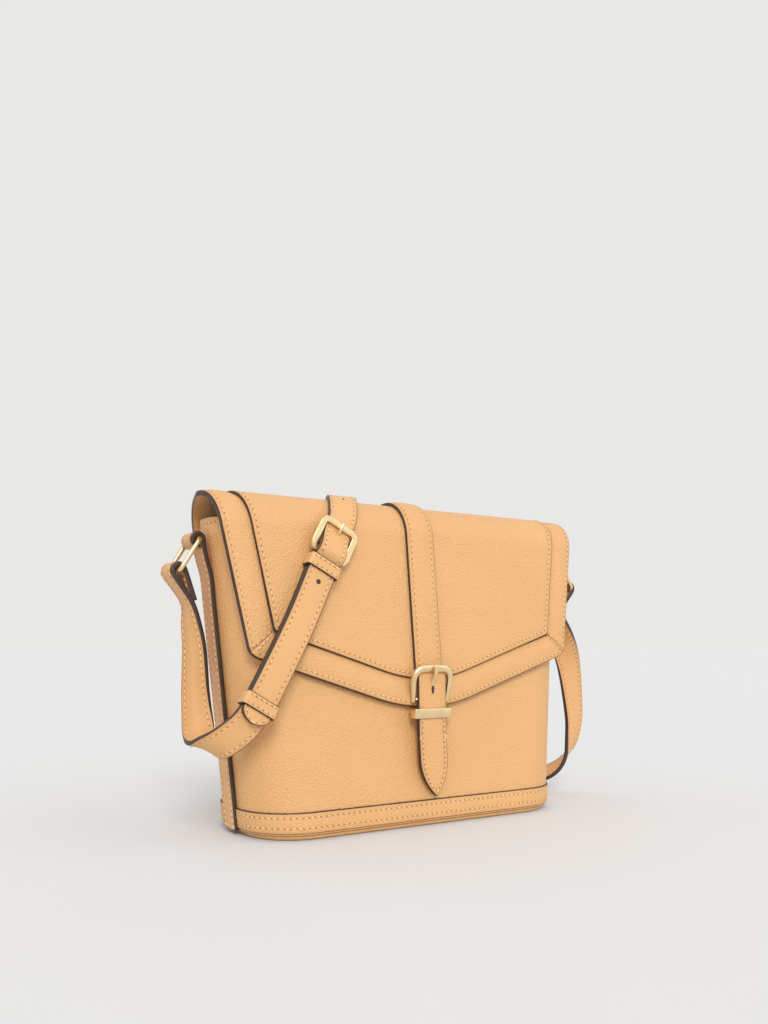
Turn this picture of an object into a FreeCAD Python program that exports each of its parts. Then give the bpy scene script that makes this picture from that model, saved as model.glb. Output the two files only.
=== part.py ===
"""Sling bag: a small structured crossbody bag in leather, with a flap, a buckled closure and a strap.

The frame: origin at the middle of the base's underside, +X to the bag's right-hand end, the front faces -Y,
+Z up, millimetres. The body is a wedge, deeper at the base and wider at the top. The pieces on the front
lie on planes parallel to the leaning front panel, at a stand-off counted from the inner face of the flap's
lining.
"""
import FreeCAD, Part
import os
import re
from math import asin, atan2, cos, degrees, radians, sin

import Sketcher
from FreeCAD import Placement, Rotation, Vector

SIZES = {
    # bag body
    "base_half_width": 110.2, "top_half_width": 129.8, "base_half_depth": 44, "top_half_depth": 22,
    "body_height": 184, "base_corner": 33, "top_corner": 20,
    "leather": 2, "skin": 1, "base_thick": 4, "base_inset": 1.5, "base_round": 2.5, "board_thick": 2,
    "band_low": 4.5, "band_top": 16, "band_thick": 1.2,
    "pocket_half": 65, "pocket_low": 85, "pocket_top": 160, "pocket_thick": 1.5,
    # flap, whose stand-offs are counted from the inner face of its lining
    "flap_gap": 2, "back_gap": 1, "lining_out": 1.2, "trim_out": 2.7, "panel_out": 3.7, "strap_out": 6.2,
    "front_bend": 20.3, "front_bend_y": 4.7, "front_bend_z": 175.2,
    "back_bend": 18.3, "back_bend_y": 5.7, "back_bend_z": 176.2,
    "flap_low": 60, "flap_back_low": 171, "flap_over": 212, "flap_reach": 80,
    "flap_top_half": 137.2, "flap_corner_x": 108, "flap_corner_z": 111.05, "flap_corner_round": 9,
    "vee_centre_z": 187.3, "vee_round": 115, "vee_inner_round": 98,
    "mitre_out_x": 121.7, "mitre_out_z": 98.7, "mitre_in_x": 100.6, "mitre_in_z": 117.9,
    "panel_top_half": 119.2, "panel_corner_x": 97.7, "panel_corner_z": 120.6, "panel_corner_round": 4,
    "centre_half": 10, "centre_low": 90, "centre_back_low": 180.5,
    # closure
    "tongue_half": 10, "tongue_top": 95.5, "tongue_top_round": 4.5, "tongue_tip": 18, "tongue_shoulder": 38,
    "tongue_thick": 1.5, "backing_thick": 1.3, "tongue_foot_y": 44.1, "tongue_lean": 1.52,
    "backing_top": 75.5, "slot_half": 1.7, "slot_low": 78, "slot_top": 92,
    "hoop_high": 21, "hoop_arc_x": 6.6, "hoop_arc_round": 8.6, "hoop_foot_half": 13.5, "hoop_bar": 3.6,
    "hoop_thick": 2.5, "hoop_foot": 2, "hoop_pin": 0.8,
    "hoop_pin_y": 42, "hoop_pin_z": 77.5, "hoop_lean": 12.5,
    "slide_half": 13.7, "slide_deep": 3.1, "slide_high": 6, "slide_wall": 1.2, "slide_round": 0.9,
    "slide_y": 43.7, "slide_z": 69,
    "snap_z": 50, "socket_round": 7, "socket_thick": 2.4, "socket_hole": 3.6,
    "stud_round": 6.5, "stud_thick": 1.6,
    "stud_pip": 2.2, "stud_pip_long": 1.2, "washer_round": 6, "washer_thick": 0.8,
    # rings and side strips
    "ring_half": 12.4, "ring_reach": 21.5, "ring_bar": 2.8, "ring_thick": 2.2,
    "ring_round": 3.4, "ring_tilt": 32.3,
    "tab_x": 135.6, "tab_z": 170.3, "tab_wide": 16, "tab_thick": 2.5, "tab_curl": 3.45,
    # shoulder strap and its buckle
    "strap_wide": 18, "strap_thick": 2.8, "fold_thick": 1.4,
    "frame_half": 13.3, "frame_reach": 18.75, "frame_bar": 2.6, "frame_thick": 2.2, "frame_round": 4.5,
    "frame_foot": 1.8, "frame_pin": 1, "prong_wide": 2.2, "prong_thick": 1.6,
    "eye_gap": 0.05, "eye_wall": 0.5, "eye_thin_wall": 0.3,
    "keeper_half": 10.5, "keeper_deep": 4.5, "keeper_long": 8, "keeper_wall": 1.1, "keeper_round": 1.6,
}

doc = FreeCAD.newDocument("SlingBag")
sheet = doc.addObject("Spreadsheet::Sheet", "Sizes")
for row, (alias, number) in enumerate(SIZES.items(), start=1):
    sheet.set(f"A{row}", alias)
    sheet.set(f"B{row}", str(number))
    sheet.setAlias(f"B{row}", alias)
doc.recompute()

nodes = []
ALONG_X = Rotation(Vector(1, 1, 1), 120)
UPRIGHT = Rotation(Vector(1, 0, 0), 90)


def cells(text):
    """The same expression with the sheet's name in front of each alias."""
    return re.sub(r"[a-z_]+", lambda word: f"Sizes.{word[0]}" if word[0] in SIZES else word[0], text)


def size(text):
    """The number that an expression in the sheet's aliases gives."""
    answer = doc.getObject("Sizes").evalExpression(cells(text))
    return float(getattr(answer, "Value", answer))


def keep(thing, label):
    """Names a finished sub-part and puts it on the list of nodes."""
    thing.Label = label
    nodes.append(thing)
    return thing


# ---------------------------------------------------------------- sketches

def outline(sketch, corners):
    """A closed outline: (x, y) is a sharp corner, (x, y, r) an arc about (x, y), r < 0 if it turns right."""
    spots = [Vector(size(corner[0]), size(corner[1]), 0) for corner in corners]
    bends = [size(corner[2]) if len(corner) > 2 else 0.0 for corner in corners]
    count = len(corners)
    runs = []
    for here in range(count):
        there = (here + 1) % count
        gap = spots[there] - spots[here]
        heading = atan2(gap.y, gap.x) + asin((bends[here] - bends[there]) / gap.Length)
        left = Vector(-sin(heading), cos(heading), 0)
        runs.append((spots[here] - left * bends[here], spots[there] - left * bends[there]))
        sketch.addGeometry(Part.LineSegment(*runs[-1]))
    for here in range(count):
        before = (here - 1) % count
        x_text, y_text = corners[here][:2]
        if bends[here]:
            first, last = runs[before][1] - spots[here], runs[here][0] - spots[here]
            if bends[here] < 0:
                first, last = last, first
            circle = Part.Circle(spots[here], Vector(0, 0, 1), abs(bends[here]))
            arc = sketch.addGeometry(Part.ArcOfCircle(circle, atan2(first.y, first.x), atan2(last.y, last.x)))
            enter, leave = (1, 2) if bends[here] > 0 else (2, 1)
            sketch.addConstraint(Sketcher.Constraint("Tangent", before, 2, arc, enter))
            sketch.addConstraint(Sketcher.Constraint("Tangent", arc, leave, here, 1))
            pin_down(sketch, "Radius", (arc,), f"abs({corners[here][2]})")
            target = (arc, 3)
        else:
            sketch.addConstraint(Sketcher.Constraint("Coincident", before, 2, here, 1))
            target = (here, 1)
        pin_down(sketch, "DistanceX", (-1, 1) + target, x_text)
        pin_down(sketch, "DistanceY", (-1, 1) + target, y_text)


def circle(sketch, x_text, y_text, radius_text):
    spot = Vector(size(x_text), size(y_text), 0)
    ring = sketch.addGeometry(Part.Circle(spot, Vector(0, 0, 1), size(radius_text)))
    pin_down(sketch, "Radius", (ring,), radius_text)
    pin_down(sketch, "DistanceX", (-1, 1, ring, 3), x_text)
    pin_down(sketch, "DistanceY", (-1, 1, ring, 3), y_text)


def pin_down(sketch, kind, places, text):
    """A dimension whose value is an expression in the sheet's cells."""
    row = sketch.addConstraint(Sketcher.Constraint(kind, *places, size(text)))
    sketch.setExpression(f"Constraints[{row}]", cells(text))


def rounded_box(half_x, half_y, radius, middle_y="0"):
    """The corners of a rounded rectangle about (0, middle_y), for outline()."""
    x, rise = f"{half_x} - {radius}", f"({half_y} - {radius})"
    low, high = f"{middle_y} - {rise}", f"{middle_y} + {rise}"
    return [(x, high, radius), (f"-({x})", high, radius), (f"-({x})", low, radius), (x, low, radius)]


# ---------------------------------------------------------------- PartDesign helpers

def new_body(label):
    return keep(doc.addObject("PartDesign::Body", label), label)


def new_sketch(body, role, lift="0"):
    plane = next(feature for feature in body.Origin.OriginFeatures if feature.Role == role)
    sketch = body.newObject("Sketcher::SketchObject", f"{body.Name}_sketch")
    sketch.AttachmentSupport = [(plane, "")]
    sketch.MapMode = "FlatFace"
    sketch.setExpression("AttachmentOffset.Base.z", cells(lift))
    return sketch


def feature(body, kind, sketch, length, side="One side", backwards=False):
    """A Pad or a Pocket of one sketch."""
    made = body.newObject(f"PartDesign::{kind}", f"{body.Name}_{kind.lower()}")
    made.Profile = sketch
    made.SideType = side
    made.Reversed = backwards
    made.setExpression("Length", cells(length))
    return made


def loft(body, kind, low, high, inset):
    """A ruled shell blank between two levels of the bag's outline, drawn in by a leather thickness."""
    sections = []
    for level in (low, high):
        sketch = new_sketch(body, "XY_Plane", level)
        plan = rounded_box(half_width(level, inset), half_depth(level, inset), corner_round(level, inset))
        outline(sketch, plan)
        sections.append(sketch)
    made = body.newObject(f"PartDesign::{kind}", f"{body.Name}_{kind.lower()}")
    made.Profile = sections[0]
    made.Sections = sections[1:]
    made.Ruled = True
    return made


def cut_half(body, side):
    """Takes away everything on one side of the plane y = 0: +1 takes the back, -1 the front."""
    sketch = new_sketch(body, "XY_Plane", "body_height + 1")
    far = f"{side} * flap_reach"
    right, left = "flap_top_half + 9", "-flap_top_half - 9"
    ends = [(right, "0"), (right, far), (left, far), (left, "0")]
    outline(sketch, ends if side > 0 else ends[::-1])
    return feature(body, "Pocket", sketch, "body_height + 9")


# ---------------------------------------------------------------- the bag's own outline, as expressions

def grown(base, top, level):
    return f"({base} + ({top} - {base}) * ({level}) / body_height)"


def half_width(level, inset="0"):
    return f"({grown('base_half_width', 'top_half_width', level)} - ({inset}))"


def half_depth(level, inset="0"):
    return f"({grown('base_half_depth', 'top_half_depth', level)} - ({inset}))"


def corner_round(level, inset="0"):
    return f"({grown('base_corner', 'top_corner', level)} - ({inset}))"


def front_y(level, stand_off):
    return f"-({half_depth(level)} + flap_gap + ({stand_off}))"


def back_y(level, stand_off):
    return f"{half_depth(level)} + back_gap + ({stand_off})"


# ---------------------------------------------------------------- bag body: panels, base, lining, trims

for label, away in (("front_panel", 1), ("back_panel", -1)):
    body = new_body(label)
    loft(body, "AdditiveLoft", "base_thick", "body_height", "0")
    loft(body, "SubtractiveLoft", "base_thick - 1", "body_height + 1", "leather")
    cut_half(body, away)

base_panel = new_body("base_panel")
base_sketch = new_sketch(base_panel, "XY_Plane")
base_plan = rounded_box("base_half_width - base_inset", "base_half_depth - base_inset", "base_corner")
outline(base_sketch, base_plan)
base_pad = feature(base_panel, "Pad", base_sketch, "base_thick")
doc.recompute()
under_edges = [
    f"Edge{row}" for row, edge in enumerate(base_pad.Shape.Edges, start=1)
    if edge.BoundBox.ZMax < size("base_thick") / 2
]
base_edge = base_panel.newObject("PartDesign::Fillet", "base_edge")
base_edge.Base = (base_pad, under_edges)
base_edge.setExpression("Radius", cells("base_round"))

base_board = new_body("base_board")
board_sketch = new_sketch(base_board, "XY_Plane", "base_thick")
board_inset = "(leather + 0.8)"
outline(board_sketch, rounded_box(f"base_half_width - {board_inset}", f"base_half_depth - {board_inset}",
                                  f"(base_corner - {board_inset})"))
feature(base_board, "Pad", board_sketch, "board_thick")

lining = new_body("lining")
loft(lining, "AdditiveLoft", "base_thick + board_thick", "body_height - 1", "leather")
loft(lining, "SubtractiveLoft", "base_thick + board_thick + skin", "body_height", "leather + skin")

for label, away in (("base_trim_front", 1), ("base_trim_back", -1)):
    body = new_body(label)
    loft(body, "AdditiveLoft", "band_low", "band_top", "-band_thick")
    loft(body, "SubtractiveLoft", "band_low - 1", "band_top + 1", "0")
    cut_half(body, away)
    strip_room = new_sketch(body, "XY_Plane", "band_top + 1")
    room_side = f"{-away} * (tab_wide / 2 + 0.2)"
    room = [("flap_top_half", "0"), ("-flap_top_half", "0"),
            ("-flap_top_half", room_side), ("flap_top_half", room_side)]
    outline(strip_room, room if away > 0 else room[::-1])
    feature(body, "Pocket", strip_room, "band_top")

lean = degrees(atan2(size("base_half_depth - top_half_depth"), size("body_height")))

slip_pocket = keep(doc.addObject("Part::Box", "slip_pocket"), "slip_pocket")
slip_pocket.setExpression("Length", cells("2 * pocket_half"))
slip_pocket.setExpression("Width", cells("pocket_thick"))
slip_pocket.setExpression("Height", cells("pocket_top - pocket_low"))
pocket_back = size(half_depth("pocket_low", "leather + skin"))
pocket_y = pocket_back - size("pocket_thick") / cos(radians(lean))
pocket_foot = Vector(-size("pocket_half"), pocket_y, size("pocket_low"))
slip_pocket.Placement = Placement(pocket_foot, Rotation(Vector(1, 0, 0), lean))


# ---------------------------------------------------------------- leather ribbons: strips, straps and prongs

def ribbon(stations):
    """A closed strip. Each station is (centre, across, thickness): across spans its width, edge to edge."""
    centres = [Vector(*station[0]) for station in stations]
    sections = []
    for row, (centre, across, thickness) in enumerate(stations):
        before, after = centres[max(row - 1, 0)], centres[min(row + 1, len(centres) - 1)]
        heading = (after - before).normalize()
        half = Vector(*across) * 0.5
        rise = heading.cross(half).normalize()
        bend = 1.0
        if 0 < row < len(centres) - 1:
            bend = (centres[row] - before).normalize().dot(heading)
        rise = rise * (thickness / 2 / bend)
        middle = centres[row]
        rim = [middle - half - rise, middle + half - rise, middle + half + rise, middle - half + rise]
        sections.append(Part.makePolygon(rim + rim[:1]))
    return Part.makeLoft(sections, True, True)


def curl(centre_x, centre_z, radius, angles):
    """Points of a curl about an axis along Y, at angles counted from +X towards +Z."""
    turns = [radians(angle) for angle in angles]
    return [(centre_x + radius * cos(turn), 0, centre_z + radius * sin(turn)) for turn in turns]


def add_shape(label, shape, placement=None):
    thing = keep(doc.addObject("Part::Feature", label), label)
    thing.Shape = shape
    if placement:
        thing.Placement = placement
    return thing


def strip_x(level):
    """Where the middle of a side strip's thickness lies, on the bag's right-hand end."""
    return size(f"{half_width(str(level))} + tab_thick / 2 + 0.03")


tab_levels = (3, 40, 90, 130, 150)
tab_swing = [(130.5, 160), (132, 167)]
tab_angles = (10, 50, 90, 130, 170, 210, 250, 285)
for label, hand in (("side_strip_left", -1), ("side_strip_right", 1)):
    path = [(strip_x(level), 0, level) for level in tab_levels]
    path += [(across_x, 0, level) for across_x, level in tab_swing]
    path += curl(size("tab_x"), size("tab_z"), size("tab_curl"), [180 - angle for angle in tab_angles])
    across = (0, size("tab_wide"), 0)
    add_shape(label, ribbon([((hand * x, y, z), across, size("tab_thick")) for x, y, z in path]))

for label, hand in (("ring_left", -1), ("ring_right", 1)):
    body = new_body(label)
    ring_middle, ring_tall = "-ring_reach / 2", "(ring_reach + ring_bar) / 2"
    ring_outer = new_sketch(body, "YZ_Plane")
    outline(ring_outer, rounded_box("ring_half", ring_tall, "ring_round", ring_middle))
    feature(body, "Pad", ring_outer, "ring_thick", "Symmetric")
    ring_inner = new_sketch(body, "YZ_Plane")
    window_half, window_tall = "(ring_half - ring_bar)", f"({ring_tall} - ring_bar)"
    ring_window = rounded_box(window_half, window_tall, "(ring_round - ring_bar)", ring_middle)
    outline(ring_inner, ring_window)
    feature(body, "Pocket", ring_inner, "2 * ring_thick", "Symmetric")
    hang = Rotation(Vector(0, 1, 0), -hand * size("ring_tilt"))
    body.Placement = Placement(Vector(hand * size("tab_x"), 0, size("tab_z")), hang)


# ---------------------------------------------------------------- flap: layers of one arch, cut to outline

def arch(name, inner, outer):
    """One layer of the flap: a band over the bag from its back to its front, between two stand-offs."""
    sketch = doc.addObject("Sketcher::SketchObject", f"{name}_sketch")
    sketch.Placement = Placement(Vector(), ALONG_X)
    outline(sketch, [
        (back_y("flap_back_low", outer), "flap_back_low"),
        ("back_bend_y", "back_bend_z", f"(back_bend + {outer})"),
        ("-front_bend_y", "front_bend_z", f"(front_bend + {outer})"),
        (front_y("flap_low", outer), "flap_low"),
        (front_y("flap_low", inner), "flap_low"),
        ("-front_bend_y", "front_bend_z", f"-(front_bend + {inner})"),
        ("back_bend_y", "back_bend_z", f"-(back_bend + {inner})"),
        (back_y("flap_back_low", inner), "flap_back_low"),
    ])
    return extrude(name, sketch, "2 * flap_top_half + 20")


def extrude(name, sketch, length):
    band = doc.addObject("Part::Extrusion", name)
    band.Base = sketch
    band.DirMode = "Normal"
    band.Solid = True
    band.Symmetric = True
    band.setExpression("LengthFwd", cells(length))
    return band


def cutter(name, corners):
    """A tall prism with an outline in the XZ plane, which cuts the flap's layers to shape."""
    sketch = doc.addObject("Sketcher::SketchObject", f"{name}_sketch")
    sketch.Placement = Placement(Vector(), UPRIGHT)
    outline(sketch, corners)
    return extrude(name, sketch, "2 * flap_reach")


def common(name, shapes):
    made = doc.addObject("Part::MultiCommon", name)
    made.Shapes = shapes
    return made


def cut(name, base, tool):
    made = doc.addObject("Part::Cut", name)
    made.Base = base
    made.Tool = tool
    return made


flap_shape = [
    ("-flap_top_half", "flap_over"),
    ("-flap_corner_x", "flap_corner_z", "flap_corner_round"),
    ("0", "vee_centre_z", "vee_round"),
    ("flap_corner_x", "flap_corner_z", "flap_corner_round"),
    ("flap_top_half", "flap_over"),
]
panel_shape = [
    ("-panel_top_half", "flap_over"),
    ("-panel_corner_x", "panel_corner_z", "panel_corner_round"),
    ("0", "vee_centre_z", "vee_inner_round"),
    ("panel_corner_x", "panel_corner_z", "panel_corner_round"),
    ("panel_top_half", "flap_over"),
]
lining_arch = arch("lining_arch", "0", "lining_out")
keep(common("lining_cut", [lining_arch, cutter("lining_outline", flap_shape)]), "flap_lining")
panel_arch = arch("panel_arch", "lining_out", "panel_out")
keep(common("panel_cut", [panel_arch, cutter("panel_outline", panel_shape)]), "flap_panel")

side_trim = {
    "flap_trim_left": [("-flap_top_half - 9", "flap_over"), ("-mitre_out_x", "mitre_out_z"),
                       ("-mitre_in_x", "mitre_in_z"), ("-panel_top_half", "flap_over")],
    "flap_trim_right": [("panel_top_half", "flap_over"), ("mitre_in_x", "mitre_in_z"),
                        ("mitre_out_x", "mitre_out_z"), ("flap_top_half + 9", "flap_over")],
    "flap_trim_lower": [("-mitre_out_x", "mitre_out_z"), ("-mitre_out_x", "flap_low"),
                        ("mitre_out_x", "flap_low"), ("mitre_out_x", "mitre_out_z"),
                        ("mitre_in_x", "mitre_in_z"), ("-mitre_in_x", "mitre_in_z")],
}
for label, corners in side_trim.items():
    blank = common(f"{label}_blank", [
        arch(f"{label}_arch", "lining_out", "trim_out"),
        cutter(f"{label}_outline", flap_shape),
        cutter(f"{label}_piece", corners),
    ])
    keep(cut(f"{label}_cut", blank, cutter(f"{label}_inside", panel_shape)), label)

centre_blank = common("centre_blank", [
    arch("centre_arch", "panel_out", "strap_out"),
    cutter("centre_outline", [("-centre_half", "centre_low"), ("centre_half", "centre_low"),
                              ("centre_half", "flap_over"), ("-centre_half", "flap_over")]),
])
behind_hinge = doc.addObject("Part::Box", "behind_hinge")
behind_hinge.setExpression("Length", cells("4 * centre_half"))
behind_hinge.setExpression("Width", cells("flap_reach"))
behind_hinge.setExpression("Height", cells("centre_back_low"))
behind_hinge.Placement = Placement(Vector(-2 * size("centre_half"), 0, 0), Rotation())
keep(cut("centre_cut", centre_blank, behind_hinge), "centre_strap")


# ---------------------------------------------------------------- closure: tongue, hoop, prong, slide, snap

tongue_point = [("-tongue_half", "tongue_shoulder"), ("0", "tongue_tip"), ("tongue_half", "tongue_shoulder")]
tongue_crown = [
    ("tongue_half - tongue_top_round", "tongue_top - tongue_top_round", "tongue_top_round"),
    ("-(tongue_half - tongue_top_round)", "tongue_top - tongue_top_round", "tongue_top_round"),
]
backing_crown = [("tongue_half", "backing_top"), ("-tongue_half", "backing_top")]
tongue_tilt = Rotation(Vector(1, 0, 0), -size("tongue_lean"))
tongue_place = Placement(Vector(0, -size("tongue_foot_y"), 0), tongue_tilt)
for label, crown, lift, thick in (("closure_tongue", tongue_crown, "backing_thick", "tongue_thick"),
                                  ("tongue_backing", backing_crown, "0", "backing_thick")):
    body = new_body(label)
    face = new_sketch(body, "XZ_Plane", lift)
    outline(face, tongue_point + crown)
    feature(body, "Pad", face, thick)
    if crown is tongue_crown:
        slot = new_sketch(body, "XZ_Plane", "-1")
        outline(slot, [("-slot_half", "slot_low"), ("slot_half", "slot_low"),
                       ("slot_half", "slot_top"), ("-slot_half", "slot_top")])
        feature(body, "Pocket", slot, "9", backwards=True)
    body.Placement = tongue_place

hoop_tilt = Rotation(Vector(1, 0, 0), size("hoop_lean"))
hoop_place = Placement(Vector(0, -size("hoop_pin_y"), size("hoop_pin_z")), hoop_tilt)
hoop = new_body("closure_buckle_frame")
hoop_face = new_sketch(hoop, "XZ_Plane")
outline(hoop_face, [
    ("-hoop_foot_half", "-hoop_foot"), ("hoop_foot_half", "-hoop_foot"),
    ("hoop_arc_x", "hoop_high - hoop_arc_round", "hoop_arc_round"),
    ("-hoop_arc_x", "hoop_high - hoop_arc_round", "hoop_arc_round"),
])
feature(hoop, "Pad", hoop_face, "hoop_thick", "Symmetric")
hoop_window = new_sketch(hoop, "XZ_Plane")
window_foot, window_round = "(hoop_foot_half - hoop_bar + 0.6)", "(hoop_arc_round - hoop_bar)"
outline(hoop_window, [
    (f"-{window_foot}", "-hoop_foot - 1"), (window_foot, "-hoop_foot - 1"),
    ("hoop_arc_x", "hoop_high - hoop_arc_round", window_round),
    ("-hoop_arc_x", "hoop_high - hoop_arc_round", window_round),
])
feature(hoop, "Pocket", hoop_window, "2 * hoop_thick", "Symmetric")
hoop.Placement = hoop_place

hoop_pin = new_body("closure_buckle_pin")
pin_sketch = new_sketch(hoop_pin, "YZ_Plane")
circle(pin_sketch, "0", "0", "hoop_pin")
feature(hoop_pin, "Pad", pin_sketch, f"2 * {window_foot} + 1.2", "Symmetric")
hoop_pin.Placement = hoop_place


def prong(path, pin_radius, wall):
    """A bent pin with an eye: path is its (y, z) centre line from the eye's middle, across is along X."""
    wide, thick = size("prong_wide"), size("prong_thick")
    hole = pin_radius + size("eye_gap")
    eye_start, along_x = Vector(-wide / 2, 0, 0), Vector(1, 0, 0)
    blade = ribbon([((0, y, z), (wide, 0, 0), thick) for y, z in path])
    eye = Part.makeCylinder(hole + wall, wide, eye_start, along_x)
    bore = Part.makeCylinder(hole, wide, eye_start, along_x)
    return blade.fuse(eye).cut(bore).removeSplitter()


def at_hoop(y, z):
    """A place in the bag's YZ plane, counted from the hoop's pin."""
    return y + size("hoop_pin_y"), z - size("hoop_pin_z")


hoop_prong_path = [(-0.1, 1), at_hoop(-42.7, 83), at_hoop(-48.3, 93.2), at_hoop(-48.6, 99)]
add_shape("closure_prong", prong(hoop_prong_path, size("hoop_pin"), size("eye_thin_wall")),
          Placement(Vector(0, -size("hoop_pin_y"), size("hoop_pin_z")), Rotation()))

slide = new_body("closure_keeper")
slide_outer = new_sketch(slide, "XY_Plane")
outline(slide_outer, rounded_box("slide_half", "slide_deep", "slide_round"))
feature(slide, "Pad", slide_outer, "slide_high", "Symmetric")
slide_inner = new_sketch(slide, "XY_Plane")
outline(slide_inner, rounded_box("(slide_half - slide_wall)", "(slide_deep - slide_wall)", "0.5"))
feature(slide, "Pocket", slide_inner, "2 * slide_high", "Symmetric")
slide.Placement = Placement(Vector(0, -size("slide_y"), size("slide_z")), tongue_tilt)

panel_normal = Rotation(Vector(1, 0, 0), lean + 90)
snap_spot = Vector(0, -size(half_depth("snap_z")), size("snap_z"))


def snap_disc(name, radius, thickness):
    disc = doc.addObject("Part::Cylinder", name)
    disc.setExpression("Radius", cells(radius))
    disc.setExpression("Height", cells(thickness))
    return disc


socket = keep(cut("socket_cut", snap_disc("socket_disc", "socket_round", "socket_thick"),
                  snap_disc("socket_hole_disc", "socket_hole", "socket_thick")), "snap_socket")
socket.Placement = Placement(snap_spot, Rotation(Vector(1, 0, 0), 90 - lean))
washer = keep(snap_disc("washer_disc", "washer_round", "washer_thick"), "snap_washer")
washer_spot = Vector(0, -size(half_depth("snap_z", "leather + skin + washer_thick + 0.1")), size("snap_z"))
washer.Placement = Placement(washer_spot, Rotation(Vector(1, 0, 0), 90 - lean))
stud = doc.addObject("Part::Fuse", "stud_fuse")
stud.Base = snap_disc("stud_disc", "stud_round", "stud_thick")
stud.Tool = snap_disc("stud_pip_disc", "stud_pip", "stud_thick + stud_pip_long")
keep(stud, "snap_stud")
stud_spot = Vector(0, -size("tongue_foot_y - 0.0266 * snap_z"), size("snap_z"))
stud.Placement = Placement(stud_spot, Rotation(Vector(1, 0, 0), -90 - size("tongue_lean")))


# ---------------------------------------------------------------- strap buckle, in a frame of its own

def on_front(x, level, stand_off):
    return Vector(x, size(front_y(str(level), str(stand_off))), level)


def on_front_bend(x, angle, stand_off):
    """Over the flap's front bend; the angle runs from 0 on the front to 90 on the ridge."""
    reach, turn = size("front_bend") + stand_off, radians(angle)
    return Vector(x, -size("front_bend_y") - reach * cos(turn), size("front_bend_z") + reach * sin(turn))


def on_back_bend(x, angle, stand_off):
    """Over the flap's back bend; the angle runs from 90 on the ridge to 0 on the back."""
    reach, turn = size("back_bend") + stand_off, radians(angle)
    return Vector(x, size("back_bend_y") + reach * cos(turn), size("back_bend_z") + reach * sin(turn))


def facing(foot, head):
    """A placement at foot whose Z runs to head and whose Y points into the bag."""
    up = (head - foot).normalize()
    inward = Vector(0, 1, 0)
    across = inward.cross(up).normalize()
    return Placement(foot, Rotation(across, up.cross(across), up, "ZXY"))


buckle_place = facing(Vector(-67.1, -36.4, 163.6), Vector(-58.3, -35.0, 180.1))
buckle = new_body("strap_buckle_frame")
frame_face = new_sketch(buckle, "XZ_Plane")
frame_top = "frame_reach + frame_bar / 2"
outline(frame_face, [
    ("-frame_half + 1", "-frame_foot"), ("frame_half - 1", "-frame_foot"), ("frame_half", "0"),
    ("frame_half - frame_round", f"{frame_top} - frame_round", "frame_round"),
    ("-frame_half + frame_round", f"{frame_top} - frame_round", "frame_round"), ("-frame_half", "0"),
])
feature(buckle, "Pad", frame_face, "frame_thick", "Symmetric")
frame_window = new_sketch(buckle, "XZ_Plane")
window_half, window_bend = "(frame_half - frame_bar)", "(frame_round - frame_bar)"
outline(frame_window, [
    (f"-{window_half}", "-frame_foot - 1"), (window_half, "-frame_foot - 1"),
    (f"{window_half} - {window_bend}", f"{frame_top} - frame_round", window_bend),
    (f"-({window_half} - {window_bend})", f"{frame_top} - frame_round", window_bend),
])
feature(buckle, "Pocket", frame_window, "2 * frame_thick", "Symmetric")
frame_pin = new_sketch(buckle, "YZ_Plane")
circle(frame_pin, "0", "0", "frame_pin")
feature(buckle, "Pad", frame_pin, f"2 * {window_half} + 1", "Symmetric")
buckle.Placement = buckle_place

strap_prong_path = [(0.3, 1.2), (1.4, 5), (2.5, 9), (-2.2, 16.4), (-2.2, 20.6)]
add_shape("strap_prong", prong(strap_prong_path, size("frame_pin"), size("eye_wall")), buckle_place)


def keeper(label, placement):
    """A leather loop round both layers of the strap."""
    body = new_body(label)
    outer = new_sketch(body, "XY_Plane")
    outline(outer, rounded_box("keeper_half", "keeper_deep", "keeper_round"))
    feature(body, "Pad", outer, "keeper_long", "Symmetric")
    inner = new_sketch(body, "XY_Plane")
    outline(inner, rounded_box("(keeper_half - keeper_wall)", "(keeper_deep - keeper_wall)", "0.5"))
    feature(body, "Pocket", inner, "2 * keeper_long", "Symmetric")
    body.Placement = placement


keeper("strap_keeper_fixed", buckle_place * Placement(Vector(0, 0.7, -9.2), Rotation()))
keeper("strap_keeper_sliding", facing(on_front(-115, 77.6, 8.85), on_front(-89, 121, 8.6)))


# ---------------------------------------------------------------- shoulder strap

WIDE, THICK, FOLD = size("strap_wide"), size("strap_thick"), size("fold_thick")


def spans(direction, factor=1.0):
    """The strap's full width along a direction."""
    return tuple(Vector(*direction).normalize() * (WIDE * factor))


def buckle_spot(y, z):
    return tuple(buckle_place.multVec(Vector(0, y, z)))


buckle_across = tuple(buckle_place.Rotation.multVec(Vector(WIDE, 0, 0)))
ring_foot_x = size("tab_x + ring_reach * sin(ring_tilt)")
ring_foot_z = size("tab_z - ring_reach * cos(ring_tilt)")
fold_angles = (19.6, 65, 110, 155, 199.6)
fold_radius = 3.65


def ring_fold(hand):
    """The strap's end round its ring: from the doubled end on the bag's side, over the bar, to the main leg."""
    folded = [(-136.2, 0, 135.5)] + curl(-ring_foot_x, ring_foot_z, fold_radius, fold_angles)
    return [(-hand * x, y, z) for x, y, z in folded]


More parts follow.
